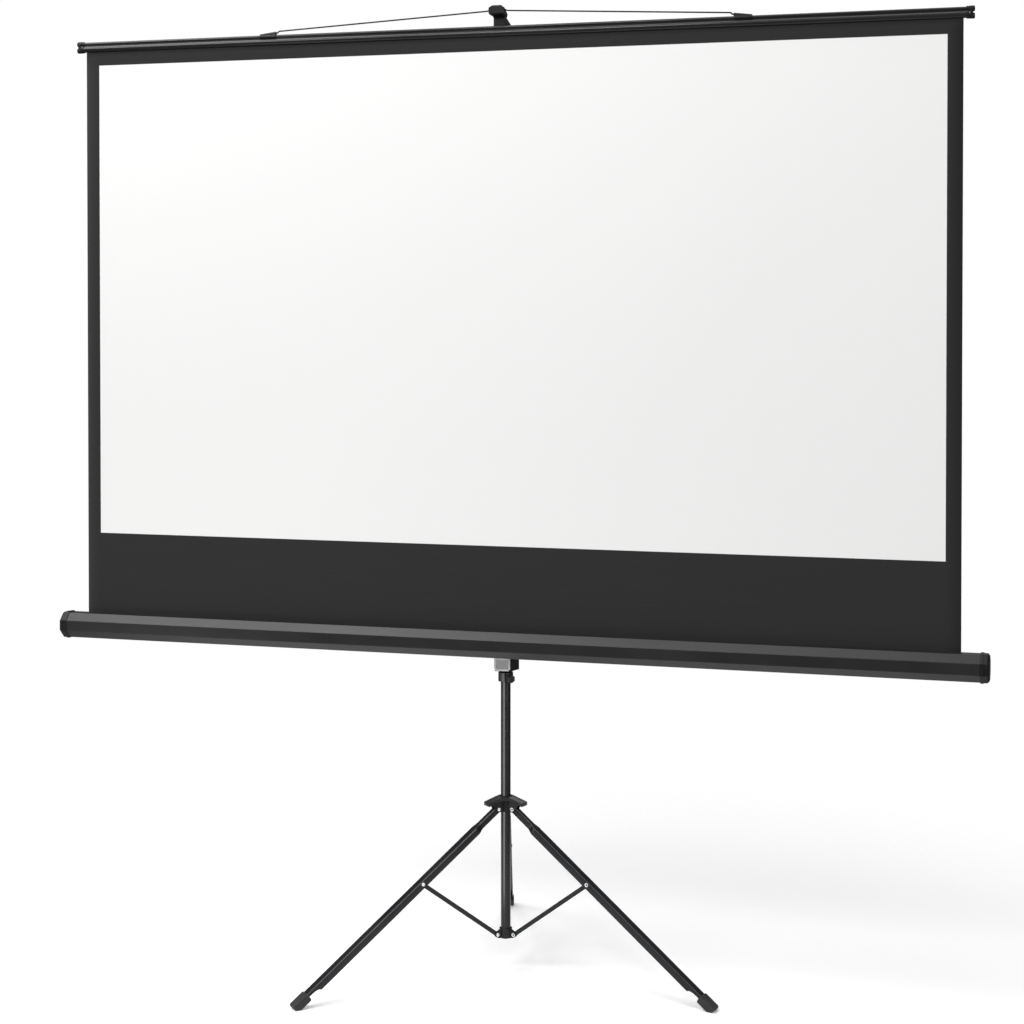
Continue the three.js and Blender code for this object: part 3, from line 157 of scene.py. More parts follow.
grain = bpy.data.node_groups.new("surface_grain", "ShaderNodeTree")
for label, start in [("Grain", 900.0), ("Patch", 7.0)]:
    grain.interface.new_socket(label, in_out="INPUT", socket_type="NodeSocketFloat").default_value = start
for label in ["Height", "Patch"]:
    grain.interface.new_socket(label, in_out="OUTPUT", socket_type="NodeSocketFloat")
given = grain.nodes.new("NodeGroupInput")
sent = grain.nodes.new("NodeGroupOutput")
where = grain.nodes.new("ShaderNodeTexCoord")
fine = grain.nodes.new("ShaderNodeTexNoise")
fine.inputs["Detail"].default_value = 3
broad = grain.nodes.new("ShaderNodeTexNoise")
broad.inputs["Detail"].default_value = 4
spread_out = grain.nodes.new("ShaderNodeMapRange")
spread_out.inputs["From Min"].default_value = 0.3
spread_out.inputs["From Max"].default_value = 0.7
grain.links.new(where.outputs["Object"], fine.inputs["Vector"])
grain.links.new(where.outputs["Object"], broad.inputs["Vector"])
grain.links.new(given.outputs["Grain"], fine.inputs["Scale"])
grain.links.new(given.outputs["Patch"], broad.inputs["Scale"])
grain.links.new(fine.outputs["Fac"], sent.inputs["Height"])
grain.links.new(broad.outputs["Fac"], spread_out.inputs["Value"])
grain.links.new(spread_out.outputs["Result"], sent.inputs["Patch"])


def surface(name, dark, light, rough, grain_size, patch_size, depth, metal=0.0, gloss=0.5):
    """A coated, moulded or plated surface: two close colours, uneven roughness and a fine grain."""
    made = bpy.data.materials.new(name)
    made.use_nodes = True
    net = made.node_tree
    shader = net.nodes["Principled BSDF"]
    shader.inputs["Metallic"].default_value = metal
    shader.inputs["Specular IOR Level"].default_value = gloss
    group = net.nodes.new("ShaderNodeGroup")
    group.node_tree = grain
    group.inputs["Grain"].default_value = grain_size
    group.inputs["Patch"].default_value = patch_size
    tint = net.nodes.new("ShaderNodeMix")
    tint.data_type = "RGBA"
    tint.inputs["A"].default_value = (*dark, 1)
    tint.inputs["B"].default_value = (*light, 1)
    dull = net.nodes.new("ShaderNodeMapRange")
    dull.inputs["To Min"].default_value = rough[0]
    dull.inputs["To Max"].default_value = rough[1]
    bump = net.nodes.new("ShaderNodeBump")
    bump.inputs["Strength"].default_value = depth
    bump.inputs["Distance"].default_value = 0.0004
    net.links.new(group.outputs["Patch"], tint.inputs["Factor"])
    net.links.new(group.outputs["Patch"], dull.inputs["Value"])
    net.links.new(group.outputs["Height"], bump.inputs["Height"])
    net.links.new(tint.outputs["Result"], shader.inputs["Base Color"])
    net.links.new(dull.outputs["Result"], shader.inputs["Roughness"])
    net.links.new(bump.outputs["Normal"], shader.inputs["Normal"])
    return made


powder_coat = surface("powder_coat", (0.006, 0.006, 0.007), (0.010, 0.010, 0.011), rough=(0.18, 0.25),
                      grain_size=1400, patch_size=9, depth=0.012, gloss=0.25)


def turned(profile, closed=True, steps=48):
    """A piece turned on a lathe from (radius, height) points, about Z."""
    shape = bmesh.new()
    points = [shape.verts.new((radius, 0, height)) for radius, height in profile]
    runs = list(zip(points, points[1:]))
    if closed:
        runs.append((points[-1], points[0]))
    edges = [shape.edges.new(run) for run in runs]
    bmesh.ops.spin(shape, geom=points + edges, cent=(0, 0, 0), axis=(0, 0, 1),
                   angle=2 * math.pi, steps=steps, use_merge=True)
    bmesh.ops.remove_doubles(shape, verts=shape.verts, dist=1e-6)
    bmesh.ops.recalc_face_normals(shape, faces=shape.faces)
    return shape


def fit(shape, name, body, finish, nodes=(), place=stand, wall=0, crease=38):
    """Puts a finished shape in its place on the body that carries it."""
    bmesh.ops.transform(shape, matrix=place, verts=shape.verts)
    mesh = bpy.data.meshes.new(name)
    shape.to_mesh(mesh)
    shape.free()
    mesh.materials.append(finish)
    mesh.shade_smooth()
    mesh.set_sharp_from_angle(angle=math.radians(crease))
    thing = bpy.data.objects.new(name, mesh)
    scene.collection.objects.link(thing)
    if wall:
        sheet_metal = thing.modifiers.new("wall", "SOLIDIFY")
        sheet_metal.thickness = wall
        sheet_metal.offset = -1
        sheet_metal.use_even_offset = True
    even = thing.modifiers.new("even_shading", "WEIGHTED_NORMAL")
    even.keep_sharp = True
    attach(thing, body)
    if nodes:
        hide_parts(*nodes)
    return thing


def pipe(outer, inner, low, high, ease=0.0004):
    """The section of a tube with eased ends."""
    return [(inner, low + ease), (inner + ease, low), (outer - ease, low), (outer, low + ease),
            (outer, high - ease), (outer - ease, high), (inner + ease, high), (inner, high - ease)]


pole_radius, pole_bore, pole_bottom, pole_top = 0.0125, 0.0113, 0.090, 0.764
fit(turned(pipe(pole_radius, pole_bore, pole_bottom, pole_top)), "lower_pole", "base", powder_coat,
    ["base_pole"])


# Foot bracket: a pressed steel cup under the pole, with a pair of welded ears for each brace,
# powder coated with the pole. A small pin at the front, coated with it, holds it on the tube.
def arc(x, z, radius, start, end, steps):
    """Points on a part of a circle, with its turn in degrees."""
    turns = [math.radians(start + (end - start) * i / steps) for i in range(steps + 1)]
    return [(x + radius * math.cos(t), z + radius * math.sin(t)) for t in turns]


def only(items, kind):
    """The points, edges or faces among what an operator gives back."""
    return [item for item in items if isinstance(item, kind)]


def ease_edges(shape, edges, width, segments=2):
    """Rounds edges of a shape as a press, a mould or a file leaves them."""
    bmesh.ops.bevel(shape, geom=edges, offset=width, offset_type="OFFSET", segments=segments,
                    profile=0.5, affect="EDGES", material=-1, clamp_overlap=True)


def plate(points, thickness, ease=0.0005, segments=2):
    """A flat outline in XZ, thickened evenly about its plane, with its edges eased."""
    shape = bmesh.new()
    rim = [shape.verts.new((x, -thickness / 2, z)) for x, z in points]
    grown = bmesh.ops.extrude_face_region(shape, geom=[shape.faces.new(rim)])["geom"]
    bmesh.ops.translate(shape, vec=(0, thickness, 0), verts=only(grown, bmesh.types.BMVert))
    bmesh.ops.recalc_face_normals(shape, faces=shape.faces)
    sharp = [edge for edge in shape.edges if edge.calc_face_angle(0) > math.radians(40)]
    ease_edges(shape, sharp, ease, segments)
    return shape


def gather(whole, *others):
    """Several shapes as one welded piece."""
    for other in others:
        loose = bpy.data.meshes.new("loose")
        other.to_mesh(loose)
        other.free()
        whole.from_mesh(loose)
        bpy.data.meshes.remove(loose)
    return whole


def moved(shape, matrix):
    """A shape put somewhere else."""
    bmesh.ops.transform(shape, matrix=matrix, verts=shape.verts)
    return shape


def coat(finish, *nodes):
    """Gives pieces that keep the frame's own shape their finish."""
    for node in nodes:
        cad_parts[node].data.materials.clear()
        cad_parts[node].data.materials.append(finish)


leg_names = ["rear", "left", "right"]
leg_turns = [105.6, 225.6, 345.6]
spokes = [Matrix.Rotation(math.radians(turn), 4, "Z") for turn in leg_turns]
pivot_radius, foot_pivot = 0.025, 0.098
cup = turned([(0, 0.086), (0.0105, 0.086), (0.0128, 0.0866), (0.0160, 0.0890), (0.0164, 0.0900),
              (0.0164, 0.1124), (0.0158, 0.113), (0.0132, 0.113), (0.0128, 0.1126), (0.0128, 0.0897),
              (0, 0.0897)], closed=False)
ear = ([(0.0146, 0.1108), (0.0146, 0.0882), (0.0215, 0.0888)]
       + arc(pivot_radius, foot_pivot, 0.007, -60, 90, 10))
ears = [moved(plate(ear, 0.0022), spoke @ Matrix.Translation((0, side * 0.003, 0)))
        for spoke in spokes for side in (-1, 1)]
fit(gather(cup, *ears), "brace_cup", "base", powder_coat, ["foot_bracket"])

coat(powder_coat, "foot_bracket_pin")


# Legs: steel strip pressed to a channel with its open side to the pole, drawn in at the crown
# and cut back in a curve before the boot. Braces: flat strip on edge with round ends.
# Tubular rivets join them, each with a domed head on one side and a rolled tail on the other.
crown_pivot, knee_radius = 0.421, 0.242
knee_drop = (crown_pivot - foot_pivot) / 2
spread = math.atan2(knee_radius - pivot_radius, knee_drop)
brace_length = math.hypot(knee_radius - pivot_radius, knee_drop)
boot_top, boot_under, boot_width = 0.010, 0.011, 0.0284
sole_start = (crown_pivot - boot_under * math.sin(spread)) / math.cos(spread)
boot_end = sole_start + 0.012
boot_start = boot_end - 0.046
taper_end = boot_start - 0.003
taper_start = taper_end - 0.029
zinc = surface("bright_zinc", (0.70, 0.70, 0.71), (0.84, 0.84, 0.85), rough=(0.20, 0.34),
               grain_size=1800, patch_size=60, depth=0.04, metal=0.5)
rubber = surface("boot_rubber", (0.022, 0.022, 0.023), (0.036, 0.036, 0.037), rough=(0.62, 0.80),
                 grain_size=700, patch_size=30, depth=0.25, gloss=0.25)


def carried_on(shape, edges):
    """Draws a run of edges out by one row, and gives back the row's points and its own run."""
    grown = bmesh.ops.extrude_edge_only(shape, edges=edges)["geom"]
    row = only(grown, bmesh.types.BMVert)
    run = [edge for edge in only(grown, bmesh.types.BMEdge) if all(vert in row for vert in edge.verts)]
    return row, run


def face(shape, way):
    """Turns an open skin so that it faces that way."""
    bmesh.ops.recalc_face_normals(shape, faces=shape.faces)
    if sum(side.normal.dot(way) for side in shape.faces) < 0:
        bmesh.ops.reverse_faces(shape, faces=shape.faces)


def channel():
    """The leg along X from its crown rivet, web up, as the outer skin of the strip."""
    half, web, flange, bend = 0.012, 0.008, 0.010, 0.0036
    narrow, neck_end, neck_run, neck_flange = 0.625, 0.062, 0.018, 0.008
    head_end, head_round, cut_back = -0.008, 0.0081, 0.009
    shape = bmesh.new()
    section = ([(-half, -flange), (-half, -0.001)] + arc(-half + bend, web - bend, bend, 180, 90, 5)
               + arc(half - bend, web - bend, bend, 90, 0, 5) + [(half, -0.001), (half, -flange)])
    points = [shape.verts.new((head_end, across, up)) for across, up in section]
    edges = [shape.edges.new(run) for run in zip(points, points[1:])]
    stops = [-0.0072, -0.0056, -0.003, 0, 0.03, 0.062, 0.066, 0.071, 0.076, 0.080, 0.25, 0.45]
    stops += [taper_start + (taper_end - taper_start) * share ** 2
              for share in [0, 0.15, 0.3, 0.45, 0.6, 0.8, 1]]
    stops += [sole_start]
    last = head_end
    for stop in stops:
        row, edges = carried_on(shape, edges)
        bmesh.ops.translate(shape, vec=(stop - last, 0, 0), verts=row)
        last = stop
    for vert in shape.verts:
        along = vert.co.x
        full = min(1, max(0, (along - neck_end) / neck_run))
        full = full * full * (3 - 2 * full)
        vert.co.y *= narrow + (1 - narrow) * full
        if vert.co.z < -flange / 2:
            vert.co.z = -neck_flange - (flange - neck_flange) * full
            if along > taper_start:
                share = math.sqrt(min(1, (along - taper_start) / (taper_end - taper_start)))
                vert.co.z = -flange + cut_back * (2 * share - share * share)
        if along < 0:
            rise = math.sqrt(max(0, head_round ** 2 - along * along))
            vert.co.z = min(rise, max(-rise, vert.co.z))
    bmesh.ops.remove_doubles(shape, verts=shape.verts, dist=1e-5)
    face(shape, Vector((0, 0, 1)))
    return shape


def rivet(half):
    """A rivet along Y, with its faces at plus and minus half."""
    shape = turned(
        [(0, half + 0.0025), (0.0016, half + 0.0024), (0.0031, half + 0.0019),
         (0.0042, half + 0.0011), (0.0048, half + 0.0003), (0.0048, half), (0.0025, half),
         (0.0025, -half), (0.0045, -half), (0.0050, -half - 0.0006), (0.0046, -half - 0.0013),
         (0.0037, -half - 0.0015), (0.0028, -half - 0.0011), (0.0021, -half),
         (0.0019, -half + 0.004), (0, -half + 0.004)], closed=False, steps=28)
    return moved(shape, Matrix.Rotation(math.radians(-90), 4, "X"))


toe_rise = (boot_end * math.cos(spread) - crown_pivot) / math.sin(spread)
boot_side = [(boot_start, boot_top - 0.002), (boot_start, -boot_under + 0.003),
             (boot_start + 0.003, -boot_under), (sole_start, -boot_under),
             (boot_end, toe_rise), (boot_end, boot_top - 0.003),
             (boot_end - 0.003, boot_top), (boot_start + 0.002, boot_top)]
strip = arc(0, 0, 0.0055, 90, 270, 10) + arc(brace_length, 0, 0.0055, -90, 90, 10)
for name, spoke in zip(leg_names, spokes):
    down = (stand @ spoke @ Matrix.Translation((pivot_radius, 0, crown_pivot))
            @ Matrix.Rotation(math.pi / 2 - spread, 4, "Y"))
    up = (stand @ spoke @ Matrix.Translation((pivot_radius, 0, foot_pivot))
          @ Matrix.Rotation(spread - math.pi / 2, 4, "Y"))
    knee = down @ Matrix.Translation((brace_length, 0, 0))
    arm, link = name + "_leg_arm", name + "_brace_arm"
    fit(channel(), name + "_channel", arm, powder_coat, [name + "_leg"], down,
        wall=0.0016)
    fit(plate(boot_side, boot_width, 0.0022, 3), name + "_shoe", arm, rubber,
        [name + "_boot"], down)
    fit(rivet(0.0107), name + "_top_rivet", arm, zinc, [name + "_crown_rivet"], down)
    fit(rivet(0.0123), name + "_middle_rivet", arm, zinc, [name + "_knee_rivet"], knee)
    fit(plate(strip, 0.003, 0.0007), name + "_strut", link, powder_coat,
        [name + "_brace"], up)
    fit(rivet(0.0044), name + "_low_rivet", link, zinc, [name + "_foot_rivet"], up)


# Crown: one moulding of black nylon that slides on the pole. A thin three-lobed roof with a
# turned-down rim covers the leg tops, and a pair of ears under each lobe holds a leg's rivet.
nylon = surface("moulded_nylon", (0.009, 0.009, 0.010), (0.016, 0.016, 0.017), rough=(0.32, 0.42),
                grain_size=1100, patch_size=12, depth=0.03, gloss=0.2)
crown_top, hub_wall, lobe_tip, rim_drop = 0.452, 0.0157, 0.057, 0.0078
lobe_rim = []
for middle in leg_turns:
    lobe_rim += arc(0, 0, lobe_tip, middle - 15, middle + 15, 8)
    turn = math.radians(middle + 60)
    start = Vector(lobe_rim[-1])
    hollow = Vector((math.cos(turn), math.sin(turn))) * 0.004
    end = Vector(arc(0, 0, lobe_tip, middle + 105, middle + 105, 1)[0])
    for t in [i / 14 for i in range(1, 14)]:
        lobe_rim.append(tuple(start * (1 - t) ** 2 + hollow * 2 * t * (1 - t) + end * t * t))
roof = bmesh.new()
row = [roof.verts.new((x, y, 0)) for x, y in lobe_rim]
skirt = ring = [roof.edges.new(run) for run in zip(row, row[1:] + row[:1])]
last = 1
for share in [0.94, 0.8, 0.62, 0.42, 0.2, 0.02]:
    row, ring = carried_on(roof, ring)
    for vert in row:
        vert.co *= (hub_wall + (vert.co.length - hub_wall) * share / last) / vert.co.length
    last = share
for vert in roof.verts:
    away = max(0, vert.co.length - hub_wall)
    vert.co.z = crown_top - 0.20 * away - 2.5 * away * away
row, ring = carried_on(roof, skirt)
bmesh.ops.translate(roof, vec=(0, 0, -rim_drop), verts=row)
face(roof, Vector((0, 0, 1)))
ease_edges(roof, skirt, 0.0016, 3)
fit(roof, "crown_roof", "crown_slider", nylon, ["crown"], wall=0.0026)
hub = turned(pipe(0.0159, 0.0129, crown_pivot - 0.008, crown_top + 0.0006, 0.0006))
ear = ([(0.0144, crown_top - 0.006), (0.0144, crown_pivot - 0.0068)]
       + arc(pivot_radius, crown_pivot, 0.008, -90, -30, 6) + [(0.046, crown_top - 0.0125)])
ears = [moved(plate(ear, 0.0024, 0.0006), spoke @ Matrix.Translation((0, side * 0.0092, 0)))
        for spoke in spokes for side in (-1, 1)]
fit(gather(hub, *ears), "crown_hub", "crown_slider", nylon, ["crown"])


# Clamps at the tops of pole and mast: a split nylon collar that grips the inner tube when the
# scalloped knob on its stud is turned. Knobs are moulded with six finger hollows.
def collar(profile, gap, turn):
    """A turned collar with a slit of that many degrees."""
    shape = bmesh.new()
    points = [shape.verts.new((radius, 0, height)) for radius, height in profile]
    edges = [shape.edges.new(run) for run in zip(points, points[1:] + points[:1])]
    bmesh.ops.spin(shape, geom=points + edges, cent=(0, 0, 0), axis=(0, 0, 1),
                   angle=math.radians(360 - gap), steps=47)
    bmesh.ops.holes_fill(shape, edges=[edge for edge in shape.edges if edge.is_boundary], sides=0)
    bmesh.ops.recalc_face_normals(shape, faces=shape.faces)
    return moved(shape, Matrix.Rotation(math.radians(turn + gap / 2), 4, "Z"))


def clamp(tube, inner, top, knob_turn, slit_turn, names, body, knob_body):
    """A collar with its boss, at the top of a tube, and the knob beside it."""
    wide, low, high = tube + 0.0065, top - 0.018, top + 0.006
    middle = (low + top) / 2
    seat, lip = tube + 0.0003, inner + 0.0004
    ring = collar([(seat, low), (wide - 0.001, low), (wide - 0.0003, low + 0.0003),
                   (wide, low + 0.001), (wide, high - 0.0022), (wide - 0.0007, high - 0.0007),
                   (wide - 0.0022, high), (lip, high), (lip, top + 0.0003), (seat, top + 0.0003)],
                  7.8, slit_turn)
    side = Matrix.Translation((0, 0, middle)) @ Matrix.Rotation(math.radians(knob_turn), 4, "Z")
    lay = Matrix.Rotation(math.radians(90), 4, "Y")
    end = wide + 0.004
    boss = turned([(0, tube + 0.003), (0.0075, tube + 0.003), (0.0075, end - 0.0008),
                   (0.0067, end), (0, end)], closed=False, steps=32)
    fit(gather(ring, moved(boss, side @ lay)), names[0] + "_collar", body, nylon,
        [names[0]])
    grip = []
    for i in range(72):
        turn = 2 * math.pi * i / 72
        reach = 0.010 - 0.0016 * max(0, math.cos(6 * turn)) ** 2
        grip.append((reach * math.cos(turn), reach * math.sin(turn)))
    handle = plate(grip, 0.008, 0.0014, 3)
    bmesh.ops.translate(handle, vec=(0, end + 0.0043, 0), verts=handle.verts)
    stud = moved(turned([(0, tube + 0.0003), (0.003, tube + 0.0003), (0.003, end + 0.002),
                         (0, end + 0.002)], closed=False, steps=20), lay)
    handle = moved(handle, Matrix.Rotation(math.radians(-90), 4, "Z"))
    fit(gather(handle, stud), names[1] + "_grip", knob_body, nylon, [names[1]],
        stand @ side)


mast_radius, mast_top, rod_radius = 0.0109, 1.514, 0.0093
clamp(pole_radius, mast_radius, pole_top, -44, -78, ("pole_clamp", "pole_clamp_knob"), "base", "pole_knob")
clamp(mast_radius, rod_radius, mast_top, 70, 78, ("mast_clamp", "mast_clamp_knob"), "mast", "mast_knob")


# Mast and extension rod: two more black tubes that telescope out of the pole, each on a moulded
# guide bush. They stand behind the cloth and carry the case bracket and the hook.
mast_bottom, rod_bottom, rod_top, tube_wall = 0.240, 1.130, 2.400, 0.0012
fit(turned(pipe(mast_radius, mast_radius - tube_wall, mast_bottom, mast_top)), "middle_tube", "mast",
    powder_coat, ["mast_tube"])
fit(turned(pipe(rod_radius, rod_radius - tube_wall, rod_bottom, rod_top)), "top_tube", "extension",
    powder_coat, ["extension_rod"])
coat(nylon, "mast_guide_bush", "extension_bush")


# Case bracket: a moulded block clamped on the mast. A bright pressed plate with a raised rim is
# bolted to its front, and a saddle on the back of the case turns on that bolt.
bright = surface("pressed_steel", (0.90, 0.90, 0.91), (0.95, 0.95, 0.96), rough=(0.24, 0.40),
                 grain_size=1600, patch_size=40, depth=0.02, metal=0.1)


def moulded(node, name, body, finish, ease):
    """A node's own shape with its points joined and its edges rounded as in a mould."""
    shape = bmesh.new()
    shape.from_mesh(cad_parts[node].data)
    bmesh.ops.remove_doubles(shape, verts=shape.verts, dist=1e-5)
    thing = fit(shape, name, body, finish, [node], Matrix.Identity(4))
    rounded = thing.modifiers.new("rounded", "BEVEL")
    rounded.width = ease
    rounded.segments = 3
    rounded.limit_method = "ANGLE"
    rounded.angle_limit = math.radians(35)
    thing.modifiers.move(len(thing.modifiers) - 1, 0)
    thing.modifiers["even_shading"].keep_sharp = False
    return thing


moulded("case_bracket", "mast_block", "mast", nylon, 0.0016)
# Painted shade: the plate's field, sunk below its raised rim, is painted a darker grey than the rim,
# darker the deeper it lies.
pressed = bright.copy()
pressed.name = "pressed_plate"
net = pressed.node_tree
where = net.nodes.new("ShaderNodeTexCoord")
parts = net.nodes.new("ShaderNodeSeparateXYZ")
sunk_shade = net.nodes.new("ShaderNodeMapRange")
plate_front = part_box("pivot_plate")[0].y
sunk_shade.inputs["From Min"].default_value = plate_front + 0.0002
sunk_shade.inputs["From Max"].default_value = plate_front + 0.0011
shaded_field = net.nodes.new("ShaderNodeMix")
shaded_field.data_type = "RGBA"
shaded_field.inputs["B"].default_value = (0.55, 0.55, 0.56, 1)
shader = net.nodes["Principled BSDF"]
net.links.new(where.outputs["Object"], parts.inputs["Vector"])
net.links.new(parts.outputs["Y"], sunk_shade.inputs["Value"])
net.links.new(sunk_shade.outputs["Result"], shaded_field.inputs["Factor"])
net.links.new(shader.inputs["Base Color"].links[0].from_socket, shaded_field.inputs["A"])
net.links.new(shaded_field.outputs["Result"], shader.inputs["Base Color"])
moulded("pivot_plate", "bright_plate", "mast", pressed, 0.0006)
coat(bright, "pivot_bolt")
coat(nylon, "case_saddle")


# Case: a thin eight-sided section, roll-formed, painted satin black, with a slot along its top
# for the cloth. Moulded caps close its ends and hold the roller's pins.
case_paint = surface("case_paint", (0.016, 0.016, 0.017), (0.022, 0.022, 0.023), rough=(0.31, 0.38),
                     grain_size=1300, patch_size=5, depth=0.015, gloss=0.33)


def drawn(points, length, closed=True):
    """A section in YZ drawn out along X, about its middle."""
    shape = bmesh.new()
    start = [shape.verts.new((-length / 2, y, z)) for y, z in points]
    if closed:
        first = [shape.faces.new(start)]
        grown = bmesh.ops.extrude_face_region(shape, geom=first)["geom"]
    else:
        first = [shape.edges.new(run) for run in zip(start, start[1:])]
        grown = bmesh.ops.extrude_edge_only(shape, edges=first)["geom"]
    bmesh.ops.translate(shape, vec=(length, 0, 0), verts=only(grown, bmesh.types.BMVert))
    bmesh.ops.recalc_face_normals(shape, faces=shape.faces)
    return shape


roller_depth, roller_height, case_half, cap_half, case_length = -0.080, 0.852, 0.033, 0.035, 2.378
slot_front, slot_back = 0.0055, 0.0105
case_place = stand @ Matrix.Translation((0, roller_depth, roller_height))
to_corner = 1 / math.cos(math.pi / 8)
corners = arc(0, 0, case_half * to_corner, 112.5, 427.5, 7)
section = drawn([(slot_front, case_half)] + corners + [(slot_back, case_half)], case_length,
                closed=False)
if sum(flat.normal.dot(flat.calc_center_median()) for flat in section.faces) < 0:
    bmesh.ops.reverse_faces(section, faces=section.faces)
folds = [edge for edge in section.edges if len(edge.link_faces) == 2 and edge.calc_face_angle(0) > 0.5]
ease_edges(section, folds, 0.0012, 3)
fit(section, "case_shell", "mast", case_paint, ["case_profile"], case_place,
    wall=0.0016, crease=50)

for name, side in [("left", -1), ("right", 1)]:
    cap = bmesh.new()
    bmesh.ops.create_circle(cap, cap_ends=True, segments=8, radius=1)
    bmesh.ops.rotate(cap, cent=(0, 0, 0), matrix=Matrix.Rotation(math.pi / 8, 3, "Z"), verts=cap.verts)
    bmesh.ops.rotate(cap, cent=(0, 0, 0), matrix=Matrix.Rotation(math.pi / 2, 3, "Y"), verts=cap.verts)
    bmesh.ops.scale(cap, vec=(1, cap_half, cap_half), verts=cap.verts)
    bmesh.ops.scale(cap, vec=(1, to_corner, to_corner), verts=cap.verts)
    bmesh.ops.translate(cap, vec=(0.0003, 0, 0), verts=cap.verts)
    back_rim = rim = list(cap.edges)
    for step, shrink in [(0.008, 1), (0, 0.96), (0.0087, 1), (0.005, 0.86)]:
        row, rim = carried_on(cap, rim)
        bmesh.ops.translate(cap, vec=(step, 0, 0), verts=row)
        bmesh.ops.scale(cap, vec=(1, shrink, shrink), verts=row)
    bmesh.ops.holes_fill(cap, edges=rim, sides=0)
    bmesh.ops.recalc_face_normals(cap, faces=cap.faces)
    folds = [edge for edge in cap.edges if abs(edge.verts[0].co.x - edge.verts[1].co.x) > 0.001]
    ease_edges(cap, back_rim + folds + rim, 0.0007)
    cap = moved(cap, Matrix.Diagonal((side, 1, 1, 1)) @ Matrix.Translation((case_length / 2, 0, 0)))
    bmesh.ops.recalc_face_normals(cap, faces=cap.faces)
    fit(cap, name + "_end_cap", "mast", nylon, [name + "_case_cap"], case_place)
coat(bright, "idle_pin", "spring_spindle", "roller_tube")
coat(nylon, "left_roller_plug", "right_roller_plug")


# Screen cloth: coated woven glass cloth, matt white with a printed black border and a black drop
# below, backed in black. It is wound on the roller, and stretched up to the top bar.
weave = bpy.data.node_groups.new("cloth_weave", "ShaderNodeTree")
weave.interface.new_socket("Threads", in_out="INPUT", socket_type="NodeSocketFloat").default_value = 1500
for label in ["Height", "Streak"]:
    weave.interface.new_socket(label, in_out="OUTPUT", socket_type="NodeSocketFloat")
given = weave.nodes.new("NodeGroupInput")
sent = weave.nodes.new("NodeGroupOutput")
where = weave.nodes.new("ShaderNodeUVMap")
where.uv_map = "cloth"
ways = []
for direction in ["X", "Y"]:
    thread = weave.nodes.new("ShaderNodeTexWave")
    thread.bands_direction = direction
    thread.inputs["Distortion"].default_value = 0.6
    weave.links.new(where.outputs["UV"], thread.inputs["Vector"])
    weave.links.new(given.outputs["Threads"], thread.inputs["Scale"])
    ways.append(thread)
crossed = weave.nodes.new("ShaderNodeMath")
crossed.operation = "MAXIMUM"
weave.links.new(ways[0].outputs["Fac"], crossed.inputs[0])
weave.links.new(ways[1].outputs["Fac"], crossed.inputs[1])
weave.links.new(crossed.outputs["Value"], sent.inputs["Height"])
pull = weave.nodes.new("ShaderNodeMapping")
pull.inputs["Scale"].default_value = (0.9, 90, 1)
streaks = weave.nodes.new("ShaderNodeTexNoise")
streaks.inputs["Scale"].default_value = 4
streaks.inputs["Detail"].default_value = 4
weave.links.new(where.outputs["UV"], pull.inputs["Vector"])
weave.links.new(pull.outputs["Vector"], streaks.inputs["Vector"])
weave.links.new(streaks.outputs["Fac"], sent.inputs["Streak"])


def cloth_side(name, low, high, dark, light, rough, depth):
    """One side of the cloth. White lies between low and high of the UV map, black outside it."""
    made = bpy.data.materials.new(name)
    made.use_nodes = True
    net = made.node_tree
    shader = net.nodes["Principled BSDF"]
    shader.inputs["Roughness"].default_value = rough
    shader.inputs["Specular IOR Level"].default_value = 0.25
    shader.inputs["Sheen Weight"].default_value = 0.08
    group = net.nodes.new("ShaderNodeGroup")
    group.node_tree = weave
    tint = net.nodes.new("ShaderNodeMix")
    tint.data_type = "RGBA"
    tint.inputs["A"].default_value = (*dark, 1)
    tint.inputs["B"].default_value = (*light, 1)
    net.links.new(group.outputs["Streak"], tint.inputs["Factor"])
    bump = net.nodes.new("ShaderNodeBump")
    bump.inputs["Strength"].default_value = depth
    bump.inputs["Distance"].default_value = 0.0002
    net.links.new(group.outputs["Height"], bump.inputs["Height"])
    net.links.new(bump.outputs["Normal"], shader.inputs["Normal"])
    colour = tint.outputs["Result"]
    if low:
        where = net.nodes.new("ShaderNodeUVMap")
        where.uv_map = "cloth"
        parts = net.nodes.new("ShaderNodeSeparateXYZ")
        net.links.new(where.outputs["UV"], parts.inputs["Vector"])
        inside = None
        for axis, edge, sign in [("X", low[0], 1), ("X", high[0], -1),
                                 ("Y", low[1], 1), ("Y", high[1], -1)]:
            step = net.nodes.new("ShaderNodeMapRange")
            step.inputs["From Min"].default_value = edge - sign * 0.0004
            step.inputs["From Max"].default_value = edge + sign * 0.0004
            net.links.new(parts.outputs[axis], step.inputs["Value"])
            if inside:
                both = net.nodes.new("ShaderNodeMath")
                both.operation = "MULTIPLY"
                net.links.new(inside, both.inputs[0])
                net.links.new(step.outputs["Result"], both.inputs[1])
                inside = both.outputs["Value"]
            else:
                inside = step.outputs["Result"]
        printed = net.nodes.new("ShaderNodeMix")
        printed.data_type = "RGBA"
        printed.inputs["B"].default_value = (0.86, 0.86, 0.855, 1)
        net.links.new(inside, printed.inputs["Factor"])
        net.links.new(colour, printed.inputs["A"])
        colour = printed.outputs["Result"]
    net.links.new(colour, shader.inputs["Base Color"])
    return made


